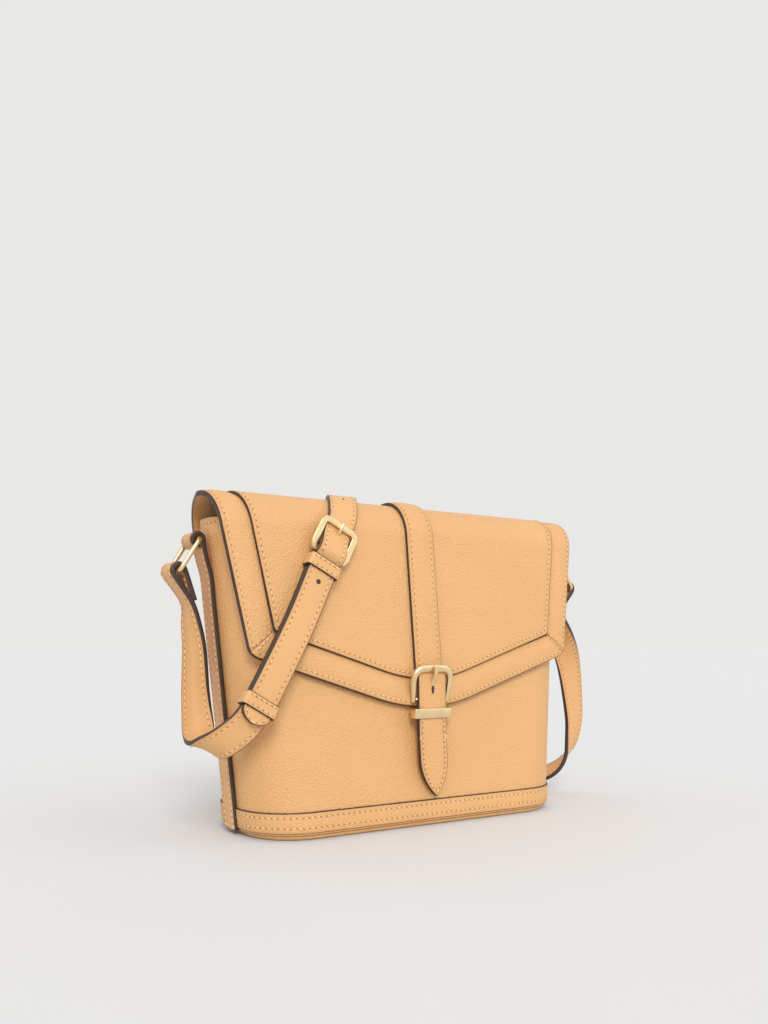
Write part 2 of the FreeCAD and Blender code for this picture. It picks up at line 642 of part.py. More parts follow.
short_end = [(place, spans((0, -18, 0)), THICK) for place in ring_fold(-1)]
short_hang = [
    ((-139.3, 0, 134.5), spans((0, -18, 0)), THICK),
    ((-137, -0.2, 122), spans((4.4, -17.5, 0)), THICK),
    ((-135.4, -0.5, 109), spans((7.3, -17, 0)), THICK),
    ((-134.8, -1, 84), spans((11, -15.5, -0.5)), THICK),
    ((-135.3, -5.5, 69), spans((12.5, -13, -2)), THICK),
    ((-136.7, -13.5, 59), spans((13.4, -11, -4.5)), THICK),
    ((-137, -23.5, 54.3), spans((14, -8, -7)), THICK),
    ((-133.6, -33, 56), spans((14, -5, -9.5)), THICK),
    ((-128.2, -39.6, 61), spans((14, -2.5, -10.5)), THICK),
    ((-122.6, -43, 66.6), spans((14.4, -0.8, -10)), THICK),
    (tuple(on_front(-117.9, 72.8, 7.2)), spans((15.35, 0, -9.2)), THICK),
]
short_rise = [
    (tuple(on_front(-115, 77.6, 7.2)), spans((15.35, 0, -9.2)), THICK),
    (tuple(on_front(-89, 121, 7)), spans((15.6, 0, -8.8)), THICK),
    (buckle_spot(2.3, -14), buckle_across, THICK),
    (buckle_spot(2.3, -4), buckle_across, THICK),
    (buckle_spot(2.3, -0.6), buckle_across, FOLD),
    (buckle_spot(1.7, 1.6), buckle_across, FOLD),
    (buckle_spot(0, 2.35), buckle_across, FOLD),
    (buckle_spot(-0.8, 2.2), buckle_across, FOLD),
]


def slot_tool(y, z_low, z_high, half, deep):
    """A box in the buckle's frame that opens a slot for its prong."""
    tool = Part.makeBox(2 * half, deep, z_high - z_low, Vector(-half, y, z_low))
    tool.Placement = buckle_place
    return tool


strap_short = ribbon(short_end + short_hang + short_rise)
add_shape("strap_short", strap_short.cut(slot_tool(-3, -1.2, 6, size("slot_half"), 6)))

diagonal = (15.35, 0, -9.2)
tail = [
    ((-120.3, -48.2, 69.2), spans(diagonal, 0.3), THICK),
    ((-119.1, -48.0, 71.2), spans(diagonal, 0.75), THICK),
    ((-117.4, -47.7, 74.0), spans(diagonal), THICK),
    (tuple(on_front(-115, 77.6, 10.5)), spans(diagonal), THICK),
    (tuple(on_front(-89, 121, 10.2)), spans((15.6, 0, -8.8)), THICK),
]
through_buckle = [
    (buckle_spot(y, z), buckle_across, THICK)
    for y, z in ((-0.9, -14), (-0.9, -4.7), (-4.1, -0.4), (0.4, 10), (2.95, 17.4), (2.95, 21))
]
over_ridge = []
for x, angle in ((-53.8, 26), (-51.2, 42), (-48.4, 58), (-45.4, 74), (-42.4, 90)):
    slant = spans((15.8, -7.4 * sin(radians(angle)), -7.4 * cos(radians(angle))))
    over_ridge.append((tuple(on_front_bend(x, angle, 5.9)), slant, THICK))
down_back = []
for x, angle in ((-37.4, 90), (-34.2, 72), (-31, 54), (-28, 36), (-25.4, 20), (-23, 4)):
    slant = spans((15.8, -7.2 * sin(radians(angle)), 7.2 * cos(radians(angle))))
    down_back.append((tuple(on_back_bend(x, angle, 6.1)), slant, THICK))
behind = [
    ((-20.5, 31.8, 165), spans((16, 0, 8)), THICK),
    ((-15.5, 32.2, 152), spans((16, 0, 8)), THICK),
    ((5, 34.8, 120), spans((16, 0, 7.5)), THICK),
    ((25, 39.6, 80), spans((15.6, 0, 8.8)), THICK),
    ((44, 43.4, 48), spans((14, 0, 11)), THICK),
    ((62, 46.3, 28), spans((9.5, 0.4, 15)), THICK),
    ((86, 48, 16.5), spans((3.5, 2, 17.5)), THICK),
    ((108, 44.5, 12.4), spans((2, 5.5, 17)), THICK),
    ((126, 34.5, 11.6), spans((6, 9, 14)), THICK),
    ((139.5, 21, 12.2), spans((10.5, 11, 9)), THICK),
    ((149, 9, 18.5), spans((12.5, 9.5, 8.5)), THICK),
    ((156, 2.5, 31), spans((14, 6, 9)), THICK),
    ((159.5, 0, 51), spans((15.8, 3, 5)), THICK),
    ((158.5, 0, 71), spans((17.6, 0.3, 1)), THICK),
    ((153, -1, 98), spans((16.5, -5.5, 0)), THICK),
    ((146.3, -0.8, 118), spans((8, -16, 0)), THICK),
    ((141.6, -0.2, 129), spans((2, -18, 0)), THICK),
    ((139.3, 0, 134.5), spans((0, -18, 0)), THICK),
]
long_end = [(place, spans((0, -18, 0)), THICK) for place in reversed(ring_fold(1))]
strap_long = ribbon(tail + through_buckle + over_ridge + down_back + behind + long_end)
add_shape("strap_long", strap_long.cut(slot_tool(-4, 8, 16.8, size("slot_half"), 9)))


# ---------------------------------------------------------------- check and write

doc.recompute()
for thing in doc.Objects:
    if {"Invalid", "Error"} & set(thing.State):
        raise RuntimeError(f"{thing.Name} failed to recompute")

os.makedirs("parts", exist_ok=True)
for node in nodes:
    if node.Shape.isNull() or not node.Shape.isValid():
        raise RuntimeError(f"{node.Label} has no valid shape")
    node.Shape.exportStep(f"parts/{node.Label}.step")
    box = node.Shape.BoundBox
    print(f"{node.Label:22s} solids {len(node.Shape.Solids)} volume {node.Shape.Volume:9.1f} "
          f"x {box.XMin:7.1f} {box.XMax:7.1f} y {box.YMin:6.1f} {box.YMax:6.1f} "
          f"z {box.ZMin:6.1f} {box.ZMax:6.1f}")
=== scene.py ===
# %% [markdown]
# # A small structured sling bag
#
# The bag is pebbled camel leather with dark painted edges, tan-gold thread and brushed pale gold fittings.
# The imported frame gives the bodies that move. This lesson builds the look of each piece on top of it: panels,
# trims, straps, stitches and fittings, all as plain meshes made from a few builders.

# %% The frame and the camera
import math

import bpy
import numpy as np
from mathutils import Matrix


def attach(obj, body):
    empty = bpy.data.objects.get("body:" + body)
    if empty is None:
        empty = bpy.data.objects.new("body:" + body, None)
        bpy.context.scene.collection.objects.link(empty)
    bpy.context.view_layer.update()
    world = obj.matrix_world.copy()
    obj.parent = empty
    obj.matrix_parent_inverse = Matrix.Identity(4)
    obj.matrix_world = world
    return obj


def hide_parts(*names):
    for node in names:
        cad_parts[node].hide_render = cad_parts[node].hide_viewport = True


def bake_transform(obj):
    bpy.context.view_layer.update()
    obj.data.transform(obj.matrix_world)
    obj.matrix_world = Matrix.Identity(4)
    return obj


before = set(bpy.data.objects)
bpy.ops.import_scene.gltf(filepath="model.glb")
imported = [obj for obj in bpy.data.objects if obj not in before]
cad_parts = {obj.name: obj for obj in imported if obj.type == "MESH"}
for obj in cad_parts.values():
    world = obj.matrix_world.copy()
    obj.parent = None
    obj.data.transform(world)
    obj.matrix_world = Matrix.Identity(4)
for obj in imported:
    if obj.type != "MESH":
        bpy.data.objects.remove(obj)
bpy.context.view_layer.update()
scene = bpy.context.scene

camera_data = bpy.data.cameras.new("camera")
camera_data.lens = 30.85
camera_data.sensor_width = 36
camera_data.shift_y = 0.1318
camera_data.dof.use_dof = False
camera = bpy.data.objects.new("camera", camera_data)
camera.location = (-0.30653, -0.48554, 0.1093)
camera.rotation_euler = (math.radians(90), 0, math.radians(-31.647))
scene.collection.objects.link(camera)
scene.camera = camera

# %% [markdown]
# ## Finishes
#
# Fine pebbled leather is a field of small rounded cells with slight changes of tone from hide to hide. One
# group makes the pebble height and a tone mask, and every leather uses it. Near an edge the leather is
# pressed and burnished, so each mesh carries a `rim` value that is 1 at its border and 0 inside.

# %% Shared effects
def group(name, inputs, outputs):
    tree = bpy.data.node_groups.new(name, "ShaderNodeTree")
    for socket, kind, value in inputs:
        made = tree.interface.new_socket(name=socket, in_out="INPUT", socket_type=kind)
        made.default_value = value
    for socket, kind in outputs:
        tree.interface.new_socket(name=socket, in_out="OUTPUT", socket_type=kind)
    return tree, tree.nodes.new("NodeGroupInput"), tree.nodes.new("NodeGroupOutput")


def node(tree, kind, settings=(), **values):
    made = tree.nodes.new(f"ShaderNode{kind}")
    for key, value in dict(settings).items():
        setattr(made, key, value)
    for key, value in values.items():
        made.inputs[key.replace("_", " ")].default_value = value
    return made


def pebble_group():
    tree, into, out = group("Pebble", [("Cells", "NodeSocketFloat", 820.0)],
                            [("Height", "NodeSocketFloat"), ("Tone", "NodeSocketFloat")])
    where = node(tree, "TexCoord")
    cells = node(tree, "TexVoronoi", {"feature": "SMOOTH_F1"}, Smoothness=0.6, Randomness=0.9)
    fine = node(tree, "TexNoise", Scale=2600.0, Detail=2.0)
    broad = node(tree, "TexNoise", Scale=22.0, Detail=3.0, Roughness=0.5)
    mix = node(tree, "Math", {"operation": "MULTIPLY_ADD"})
    mix.inputs[1].default_value = 0.25
    for texture in (cells, fine, broad):
        tree.links.new(where.outputs["Object"], texture.inputs["Vector"])
    tree.links.new(into.outputs["Cells"], cells.inputs["Scale"])
    tree.links.new(fine.outputs["Fac"], mix.inputs[0])
    tree.links.new(cells.outputs["Distance"], mix.inputs[2])
    tree.links.new(mix.outputs[0], out.inputs["Height"])
    tree.links.new(broad.outputs["Fac"], out.inputs["Tone"])
    return tree


def brushed_group():
    tree, into, out = group("Brushed", [("Fine", "NodeSocketFloat", 1.0)],
                            [("Height", "NodeSocketFloat"), ("Tone", "NodeSocketFloat")])
    where = node(tree, "TexCoord")
    stretch = node(tree, "Mapping", Scale=(5200.0, 5200.0, 420.0))
    lines = node(tree, "TexNoise", Scale=1.0, Detail=3.0)
    smudge = node(tree, "TexNoise", Scale=130.0, Detail=3.0)
    tree.links.new(where.outputs["Object"], stretch.inputs["Vector"])
    tree.links.new(stretch.outputs["Vector"], lines.inputs["Vector"])
    tree.links.new(where.outputs["Object"], smudge.inputs["Vector"])
    tree.links.new(lines.outputs["Fac"], out.inputs["Height"])
    tree.links.new(smudge.outputs["Fac"], out.inputs["Tone"])
    return tree


PEBBLE, BRUSHED = pebble_group(), brushed_group()
print("shared effects:", PEBBLE.name, BRUSHED.name)

# %% Materials
def material(name, effect, low, high, rough, bump, depth, metallic=0.0, rim_tint=None, setting=None):
    """A Principled material whose colour, roughness and bump come from one shared effect."""
    made = bpy.data.materials.new(name)
    made.use_nodes = True
    tree = made.node_tree
    shader = tree.nodes["Principled BSDF"]
    source = tree.nodes.new("ShaderNodeGroup")
    source.node_tree = effect
    if setting:
        source.inputs[setting[0]].default_value = setting[1]
    colours = node(tree, "ValToRGB")
    colours.color_ramp.elements[0].position = 0.3
    colours.color_ramp.elements[1].position = 0.7
    colours.color_ramp.elements[0].color = (*low, 1)
    colours.color_ramp.elements[1].color = (*high, 1)
    tree.links.new(source.outputs["Tone"], colours.inputs["Fac"])
    colour = colours.outputs["Color"]
    if rim_tint:
        rim = node(tree, "Attribute", {"attribute_name": "rim"})
        tint = node(tree, "Mix", {"data_type": "RGBA", "blend_type": "MULTIPLY"})
        tint.inputs["B"].default_value = (*rim_tint, 1)
        tree.links.new(rim.outputs["Fac"], tint.inputs["Factor"])
        tree.links.new(colour, tint.inputs["A"])
        colour = tint.outputs["Result"]
    tree.links.new(colour, shader.inputs["Base Color"])
    span = node(tree, "MapRange", To_Min=rough[0], To_Max=rough[1])
    tree.links.new(source.outputs["Tone"], span.inputs["Value"])
    tree.links.new(span.outputs["Result"], shader.inputs["Roughness"])
    relief = node(tree, "Bump", Strength=bump, Distance=depth)
    tree.links.new(source.outputs["Height"], relief.inputs["Height"])
    tree.links.new(relief.outputs["Normal"], shader.inputs["Normal"])
    shader.inputs["Metallic"].default_value = metallic
    return made


LEATHER = material("tan_leather", PEBBLE, (0.700, 0.382, 0.152), (0.725, 0.400, 0.162), (0.42, 0.50), 0.7,
                   0.0006,
                   rim_tint=(0.88, 0.79, 0.66))
SMOOTH = material("strap_leather", PEBBLE, (0.710, 0.388, 0.154), (0.735, 0.406, 0.164), (0.40, 0.48), 0.6,
                  0.0004,
                  rim_tint=(0.86, 0.77, 0.64), setting=("Cells", 900.0))
# Dark edge paint. The same dark colour also fills the punched-hole and slot discs as painted shade.
EDGE_AND_HOLE_SHADE = material("edge_paint_and_hole_shade", PEBBLE, (0.034, 0.020, 0.015), (0.052, 0.033, 0.026), (0.35, 0.5), 0.15, 0.0001,
                setting=("Cells", 2200.0))
THREAD = material("thread", PEBBLE, (0.80, 0.52, 0.25), (0.90, 0.64, 0.36), (0.55, 0.7), 0.4, 0.0001,
                  setting=("Cells", 5000.0))
# Dark colour for small discs that paint the shade inside each pricked needle hole.
HOLE_SHADE = material("needle_hole_shade", PEBBLE, (0.17, 0.075, 0.028), (0.22, 0.10, 0.04), (0.7, 0.8), 0.1, 0.0001)
WOVEN = material("lining_cloth", PEBBLE, (0.050, 0.030, 0.020), (0.085, 0.055, 0.038), (0.75, 0.9), 0.5,
                 0.0002,
                 setting=("Cells", 2400.0))
GOLD = material("pale_gold", BRUSHED, (0.80, 0.60, 0.32), (0.90, 0.71, 0.42), (0.24, 0.36), 0.12, 0.00006,
                metallic=1.0)
STEEL = material("steel", BRUSHED, (0.45, 0.45, 0.46), (0.6, 0.6, 0.61), (0.3, 0.42), 0.12, 0.00006,
                 metallic=1.0)
BOARD = material("board", PEBBLE, (0.09, 0.07, 0.05), (0.13, 0.11, 0.09), (0.8, 0.9), 0.4, 0.0002)
LEATHER_SET = [LEATHER, EDGE_AND_HOLE_SHADE, THREAD, HOLE_SHADE, WOVEN, SMOOTH]
FACE, PAINT_AND_HOLE_SHADE, SEAM, PRICK_SHADE, CLOTH, FINE = range(6)
print("materials:", len(bpy.data.materials))

# %% [markdown]
# ## Builders
#
# Everything is measured in millimetres and scaled once. A `Piece` gathers grids of places and rows of
# stitches and turns them into one mesh. A strap is a section swept along a path: a crowned face, rounded
# painted edges and a flat back. Real thread lies in short raised stitches between pricked holes, so stitches
# are small meshes too. Each pricked hole is a small dark disc of painted shade.

# %% A mesh gathered from grids and stitches
class Piece:
    def __init__(self, name, materials=None):
        self.name, self.materials = name, materials or LEATHER_SET
        self.places, self.faces, self.finish, self.rim, self.count = [], [], [], [], 0

    def add(self, places, faces, finish, rim):
        self.places.append(np.asarray(places, float).reshape(-1, 3))
        self.faces.extend((np.asarray(face) + self.count).tolist() for face in faces)
        self.finish.extend(finish)
        self.rim.append(np.broadcast_to(np.asarray(rim, float), (len(self.places[-1]),)))
        self.count += len(self.places[-1])

    def grid(self, places, finish, rim=0.0, wrap=False, loop=False, caps=None):
        """A grid of rows by columns. finish is one number, or one for each strip between two columns."""
        rows, columns = places.shape[:2]
        index = np.arange(rows * columns).reshape(rows, columns)
        steps = columns if wrap else columns - 1
        kinds = [finish] * steps if isinstance(finish, int) else list(finish)
        faces, chosen = [], []
        for row in range(rows if loop else rows - 1):
            after = (row + 1) % rows
            for column in range(steps):
                beside = (column + 1) % columns
                faces.append([index[row, column], index[row, beside], index[after, beside],
                              index[after, column]])
                chosen.append(kinds[column])
        if caps is not None:
            for kind, end in zip(caps, (index[0, ::-1], index[-1])):
                if kind is not None:
                    faces.append(end)
                    chosen.append(kind)
        self.add(places, faces, chosen, np.broadcast_to(rim, (rows, columns)).reshape(-1))

    def stitches(self, path, normals, pitch=3.6, long=2.6, thick=0.32, finish=SEAM, hole_shade=True):
        """A row of raised stitches along a path of places, each with the surface's normal."""
        path, normals = np.asarray(path, float), np.asarray(normals, float)
        run = np.concatenate([[0], np.cumsum(np.linalg.norm(np.diff(path, axis=0), axis=1))])
        count = max(1, int(run[-1] / pitch))
        at = (np.arange(count) + 0.5) * run[-1] / count
        centre = np.stack([np.interp(at, run, path[:, k]) for k in range(3)], 1)
        ahead = np.stack([np.interp(at + 0.4, run, path[:, k]) - np.interp(at - 0.4, run, path[:, k])
                          for k in range(3)], 1)
        up = unit(np.stack([np.interp(at, run, normals[:, k]) for k in range(3)], 1))
        ahead = unit(ahead - up * np.sum(ahead * up, 1, keepdims=True))
        aside = np.cross(up, ahead)
        ahead, aside = ahead + 0.10 * aside, aside - 0.10 * ahead
        reach = np.array([-0.5, -0.36, 0.0, 0.36, 0.5]) * long
        swell = np.array([0.45, 0.95, 1.0, 0.95, 0.45]) * thick
        lift = np.array([-0.06, 0.10, 0.17, 0.10, -0.06])
        turn = np.arange(6) * math.pi / 3
        local = np.array([[x, r * math.cos(a), r * math.sin(a) * 0.8 + h]
                          for x, r, h in zip(reach, swell, lift) for a in turn])
        faces = [[row * 6 + k, row * 6 + (k + 1) % 6, row * 6 + 6 + (k + 1) % 6, row * 6 + 6 + k]
                 for row in range(4) for k in range(6)] + [[5, 4, 3, 2, 1, 0], [24, 25, 26, 27, 28, 29]]
        self.scatter(local, faces, centre, ahead, aside, up, finish)
        if hole_shade:
            # A small dark disc of painted shade at each end of the stitch, for its pricked hole.
            dots = np.array([[x + 0.46 * math.cos(a), 0.40 * math.sin(a), 0.05]
                             for x in (-long / 2, long / 2) for a in turn])
            self.scatter(dots, [[0, 1, 2, 3, 4, 5], [6, 7, 8, 9, 10, 11]], centre, ahead, aside, up, PRICK_SHADE)

    def scatter(self, local, faces, centre, ahead, aside, up, finish):
        places = (centre[:, None] + local[None, :, :1] * ahead[:, None] + local[None, :, 1:2] * aside[:, None]
                  + local[None, :, 2:] * up[:, None])
        size, many = len(local), len(centre)
        copies = [[corner + size * k for corner in face] for k in range(many) for face in faces]
        self.add(places, copies, [finish] * len(copies), 0.0)

    def make(self):
        mesh = bpy.data.meshes.new(self.name)
        mesh.from_pydata((np.concatenate(self.places) * 0.001).tolist(), [], self.faces)
        for finish in self.materials:
            mesh.materials.append(finish)
        mesh.polygons.foreach_set("material_index", np.array(self.finish, np.int32))
        mesh.polygons.foreach_set("use_smooth", np.ones(len(self.faces), bool))
        rim = mesh.attributes.new("rim", "FLOAT", "POINT")
        rim.data.foreach_set("value", np.concatenate(self.rim).astype(np.float32))
        mesh.update()
        made = bpy.data.objects.new(self.name, mesh)
        scene.collection.objects.link(made)
        return made


def unit(vectors):
    vectors = np.asarray(vectors, float)
    return vectors / np.maximum(np.linalg.norm(vectors, axis=-1, keepdims=True), 1e-9)


def done(piece, body, slot, *nodes):
    """Makes the mesh, lets it ride on a body and stand for CAD nodes."""
    made = piece.make()
    if body:
        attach(made, body)
    if nodes:
        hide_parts(*nodes)
    print(made.name, len(made.data.polygons), "faces")
    return made


# %% Paths and sections
def curve(stations, spacing=1.6):
    """A smooth run through stations (centre, across, thickness): places, across, rise and thickness, row by row."""
    centres = np.array([station[0] for station in stations], float)
    across = unit([station[1] for station in stations])
    thick = np.array([station[2] for station in stations], float)
    run = np.concatenate([[0], np.cumsum(np.sqrt(np.linalg.norm(np.diff(centres, axis=0), axis=1)))])
    length = np.linalg.norm(np.diff(centres, axis=0), axis=1).sum()
    at = np.linspace(0, run[-1], int(length / spacing) + 2)
    places, sideways = hermite(run, centres, at), hermite(run, across, at)
    ahead = unit(np.gradient(places, axis=0))
    sideways = unit(sideways - ahead * np.sum(sideways * ahead, 1, keepdims=True))
    return places, sideways, np.cross(ahead, sideways), np.interp(at, run, thick)


def hermite(knots, values, at):
    slopes = np.gradient(values, knots, axis=0)
    cell = np.clip(np.searchsorted(knots, at, side="right") - 1, 0, len(knots) - 2)
    gap = (knots[cell + 1] - knots[cell])[:, None]
    t = (at - knots[cell])[:, None] / gap
    first, last, out, into = values[cell], values[cell + 1], slopes[cell] * gap, slopes[cell + 1] * gap
    return ((2 * t**3 - 3 * t**2 + 1) * first + (t**3 - 2 * t**2 + t) * out
            + (3 * t**2 - 2 * t**3) * last + (t**3 - t**2) * into)


INSETS = np.array([0.45, 0.9, 1.7, 2.6, 3.5, 5.0, 7.0])


def strip(piece, path, wide, crown=0.35, face=FINE, back=FINE, flip=False, seam=2.6, pitch=3.7, both=True,
          ends=(PAINT_AND_HOLE_SHADE, PAINT_AND_HOLE_SHADE)):
    """A leather strip along a path: crowned face, painted rounded edges, flat back, and a stitch row by each edge."""
    places, sideways, rise, thick = path
    up = -rise if flip else rise
    half = np.broadcast_to(np.asarray(wide, float) / 2, (len(places),))
    columns, rim = [], []
    insets = np.minimum(INSETS[None, :], half[:, None] * 0.98)
    swell = crown * (1 - ((half[:, None] - insets) / half[:, None]) ** 2) - 0.12 * np.exp(-((insets - seam)
                                                                                            / 0.7) ** 2)

    def lay(offset, height, near):
        columns.append(places + sideways * offset[:, None] + up * height[:, None])
        rim.append(np.full(len(places), near))

    top, bottom = thick / 2, -thick / 2
    nearness = [0.9, 0.6, 0.25, 0.3, 0.05, 0.0, 0.0]
    for k in range(7):
        lay(-(half - insets[:, k]), top + swell[:, k], nearness[k])
    lay(half * 0, top + crown, 0.0)
    for k in range(6, -1, -1):
        lay(half - insets[:, k], top + swell[:, k], nearness[k])
    lay(half - 0.10, top - 0.18, 1.0)
    lay(half + 0.02, thick * 0, 1.0)
    lay(half - 0.10, bottom + 0.2, 1.0)
    lay(half - 0.45, bottom, 0.9)
    lay(half * 0, bottom, 0.0)
    lay(-(half - 0.45), bottom, 0.9)
    lay(-(half - 0.10), bottom + 0.2, 1.0)
    lay(-(half + 0.02), thick * 0, 1.0)
    lay(-(half - 0.10), top - 0.18, 1.0)
    finish = [face] * 14 + [PAINT_AND_HOLE_SHADE] * 4 + [back] * 2 + [PAINT_AND_HOLE_SHADE] * 4
    piece.grid(np.stack(columns, 1), finish, np.stack(rim, 1), wrap=True, caps=ends)
    if pitch:
        for side in (-1, 1):
            height = (top + crown * (1 - ((half - seam) / half) ** 2) - 0.1)[:, None]
            piece.stitches(places + sideways * (side * (half - seam))[:, None] + up * height, up, pitch)
            if both:
                piece.stitches(places + sideways * (side * (half - seam))[:, None] - up * top[:, None], -up,
                               pitch)
    return up


def bar(piece, path, section, loop=False, finish=0):
    """A solid metal bar. section(row) gives its outline as (sideways, rise) pairs."""
    places, sideways, rise = path[:3]
    rings = [places[row] + np.outer(section(row)[:, 0], sideways[row])
             + np.outer(section(row)[:, 1], rise[row])
             for row in range(len(places))]
    piece.grid(np.stack(rings), finish, wrap=True, loop=loop, caps=None if loop else (finish, finish))


def pill(wide, high, soft, steps=4):
    """A rounded rectangular outline, counter-clockwise."""
    points = []
    for quarter, (sx, sy) in enumerate(((1, 1), (-1, 1), (-1, -1), (1, -1))):
        for step in range(steps + 1):
            angle = math.pi / 2 * (quarter + step / steps)
            points.append((sx * (wide / 2 - soft) + soft * math.cos(angle),
                           sy * (high / 2 - soft) + soft * math.sin(angle)))
    return np.array(points)


def flat_loop(wide, high, soft, origin, u_axis, v_axis, middle=(0, 0), steps=8):
    """A closed rounded path in a plane, with its outward side and the plane's normal."""
    outline = pill(wide, high, soft, steps)
    inner = np.repeat([[1, 1], [-1, 1], [-1, -1], [1, -1]], steps + 1, 0) * [wide / 2 - soft, high / 2 - soft]
    outward = unit(outline - inner)
    u_axis, v_axis = unit(u_axis), unit(v_axis)
    places = np.asarray(origin) + np.outer(outline[:, 0] + middle[0],
                                           u_axis) + np.outer(outline[:, 1] + middle[1], v_axis)
    sides = np.outer(outward[:, 0], u_axis) + np.outer(outward[:, 1], v_axis)
    return places, sides, np.tile(np.cross(u_axis, v_axis), (len(places), 1))


print("builders ready")

# %% [markdown]
# ## The bag's body
#
# Two leather panels wrap round big corners and meet under a strip at each end. The plan is a rounded
# rectangle that grows wider and flatter towards the mouth. Real panels breathe a little, so the faces swell
# by about a millimetre.

# %% The body's outline at any height
BASE, MOUTH = 4.0, 184.0


def outline_at(height, out, front=True, trim=0.0):
    """Half of the bag's outline at a height, moved out by some millimetres: places and normals, right end to left end."""
    share = height / 184
    half, deep, soft = 110.2 + 19.6 * share, 44 - 22 * share, 33 - 13 * share
    points, normals = [], []
    for y in np.linspace(trim, deep - soft, 4):
        points.append((half, -max(y, 0)))
        normals.append((1, 0))
    for angle in np.linspace(0, math.pi / 2, 15)[1:]:
        points.append((half - soft + soft * math.cos(angle), -(deep - soft) - soft * math.sin(angle)))
        normals.append((math.cos(angle), -math.sin(angle)))
    for x in np.linspace(half - soft, 0, 26)[1:]:
        points.append((x, -deep))
        normals.append((0, -1))
    points = points + [(-x, y) for x, y in points[-2::-1]]
    normals = normals + [(-x, y) for x, y in normals[-2::-1]]
    points, normals = np.array(points, float), np.array(normals, float)
    spread = np.clip(1 - np.abs(points[:, 0]) / half, 0, 1)
    breath = 0.9 * np.sin(math.pi * min(max((height - 14) / 170, 0), 1)) * spread ** 0.5 * (height < 150)
    places = np.column_stack([points + normals * (out + breath[:, None]), np.full(len(points), height)])
    if not front:
        places[:, 1] *= -1
        normals = normals * [1, -1]
    return places, np.column_stack([normals, np.zeros(len(normals))])


def shell(name, front, nodes):
    piece = Piece(name)
    heights = np.concatenate([[3.4], np.linspace(5, 170, 34), [174, 178, 180.6, 182, 183.1]])
    rows = [outline_at(height, 0, front)[0] for height in heights]
    rim = [min(1.0, max(0.0, (height - 178) / 5)) * 0.8 for height in heights]
    places = np.stack(rows)
    piece.grid(places, FACE, np.repeat(np.array(rim)[:, None], places.shape[1], 1))
    lip = np.stack([outline_at(z, out, front)[0]
                    for z, out in ((183.1, 0), (183.8, -0.25), (184.1, -1.0), (183.9, -1.8), (183, -2))])
    piece.grid(lip, PAINT_AND_HOLE_SHADE, 0.6)
    seam, up = outline_at(180.4, 0.02, front)
    piece.stitches(seam[2:-2], up[2:-2])
    return done(piece, "bag", "tan_leather", nodes)


shell("front_shell", True, "front_panel")
shell("back_shell", False, "back_panel")

# %% [markdown]
# A cloth lining drops inside the panels and closes over the base board. It hangs a little loose, so its walls
# wander by a fraction of a millimetre. A slip pocket is sewn to its back wall.

# %% Lining, pocket and base board
def ring_at(height, out):
    front, back = outline_at(height, out, True)[0], outline_at(height, out, False)[0]
    return np.concatenate([front[:-1], back[::-1][:-1]])


lining = Piece("lining_cloth")
walls = []
for height in np.concatenate([[183.2], np.linspace(180, 12, 30), [8.6, 7.2]]):
    ring = ring_at(height, -2.3)
    loose = 0.35 * np.sin(ring[:, 0] * 0.11 + height * 0.07) * np.sin(ring[:, 0] * 0.043 - height * 0.05)
    ring = ring + unit(-ring * [1, 1, 0]) * (0.5 + loose[:, None])
    walls.append(ring)
foot = walls[-1]
for shrink in (0.97, 0.7, 0.4, 0.1):
    walls.append(np.column_stack([foot[:, :2] * shrink, np.full(len(foot), 7.1)]))
lining.grid(np.stack(walls), CLOTH, wrap=True)
done(lining, "bag", "lining", "lining")

pocket = Piece("pocket_cloth")
pocket_path = curve([((0, 44 - 0.1196 * z - 4.6, z), (1, 0, 0), 1.2) for z in (85, 100, 120, 140, 159)], 3)
strip(pocket, pocket_path, 130, crown=0.6, face=CLOTH, back=CLOTH, pitch=3.6, both=False, flip=True)
done(pocket, "bag", "lining", "slip_pocket")

for name, finish in (("base_board", BOARD), ("snap_washer", STEEL), ("snap_socket", GOLD),
                     ("snap_stud", GOLD)):
    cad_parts[name].data.materials.clear()
    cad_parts[name].data.materials.append(finish)

# %% [markdown]
# The base is a padded slab whose rolled edge shows as a bead under the base band. The band is a thin strip
# with two stitch rows and dark edges, wrapped round the foot of each panel between the side strips.

# %% Base and base bands
base = Piece("base_slab")
levels = [(0.05, -34), (0.0, -12), (0.0, -5.0), (0.35, -3.2), (1.2, -1.9), (2.2, -1.5), (3.2, -1.8),
          (4.0, -2.6), (4.2, -5)]
base.grid(np.stack([ring_at(z, out) for z, out in levels]), FACE, wrap=True)
done(base, "bag", "tan_leather", "base_panel")


def band(name, front, node_name):
    piece = Piece(name)
    section = [(4.4, 0.05), (4.4, 0.8), (4.6, 1.05), (5.0, 1.2), (6.0, 1.3), (7.4, 1.22), (9, 1.35),
               (10.4, 1.4), (12, 1.35),
               (13.2, 1.22), (14.6, 1.3), (15.5, 1.2), (15.9, 1.05), (16.1, 0.8), (16.1, 0.05)]
    grid = np.stack([outline_at(z, out, front, trim=8.3)[0] for z, out in section])
    kinds = [PAINT_AND_HOLE_SHADE] * 2 + [FACE] * 9 + [PAINT_AND_HOLE_SHADE] * 3
    rim = np.array([1, 1, 0.8, 0.5, 0.2, 0.3, 0, 0, 0, 0.3, 0.2, 0.5, 0.8, 1, 1])
    piece.grid(np.swapaxes(grid, 0, 1), kinds, rim[None, :])
    for z in (7.4, 13.2):
        seam, up = outline_at(z, 1.27, front, trim=8.3)
        piece.stitches(seam, up)
    return done(piece, "bag", "tan_leather", node_name)


band("base_band_front", True, "base_trim_front")
band("base_band_back", False, "base_trim_back")

# %% [markdown]
# ## Side strips and rings
#
# A strip covers the seam at each end of the bag. Its top leans out and turns over into a small loop that
# holds a rounded rectangular ring, on which the strap's folded end hangs.

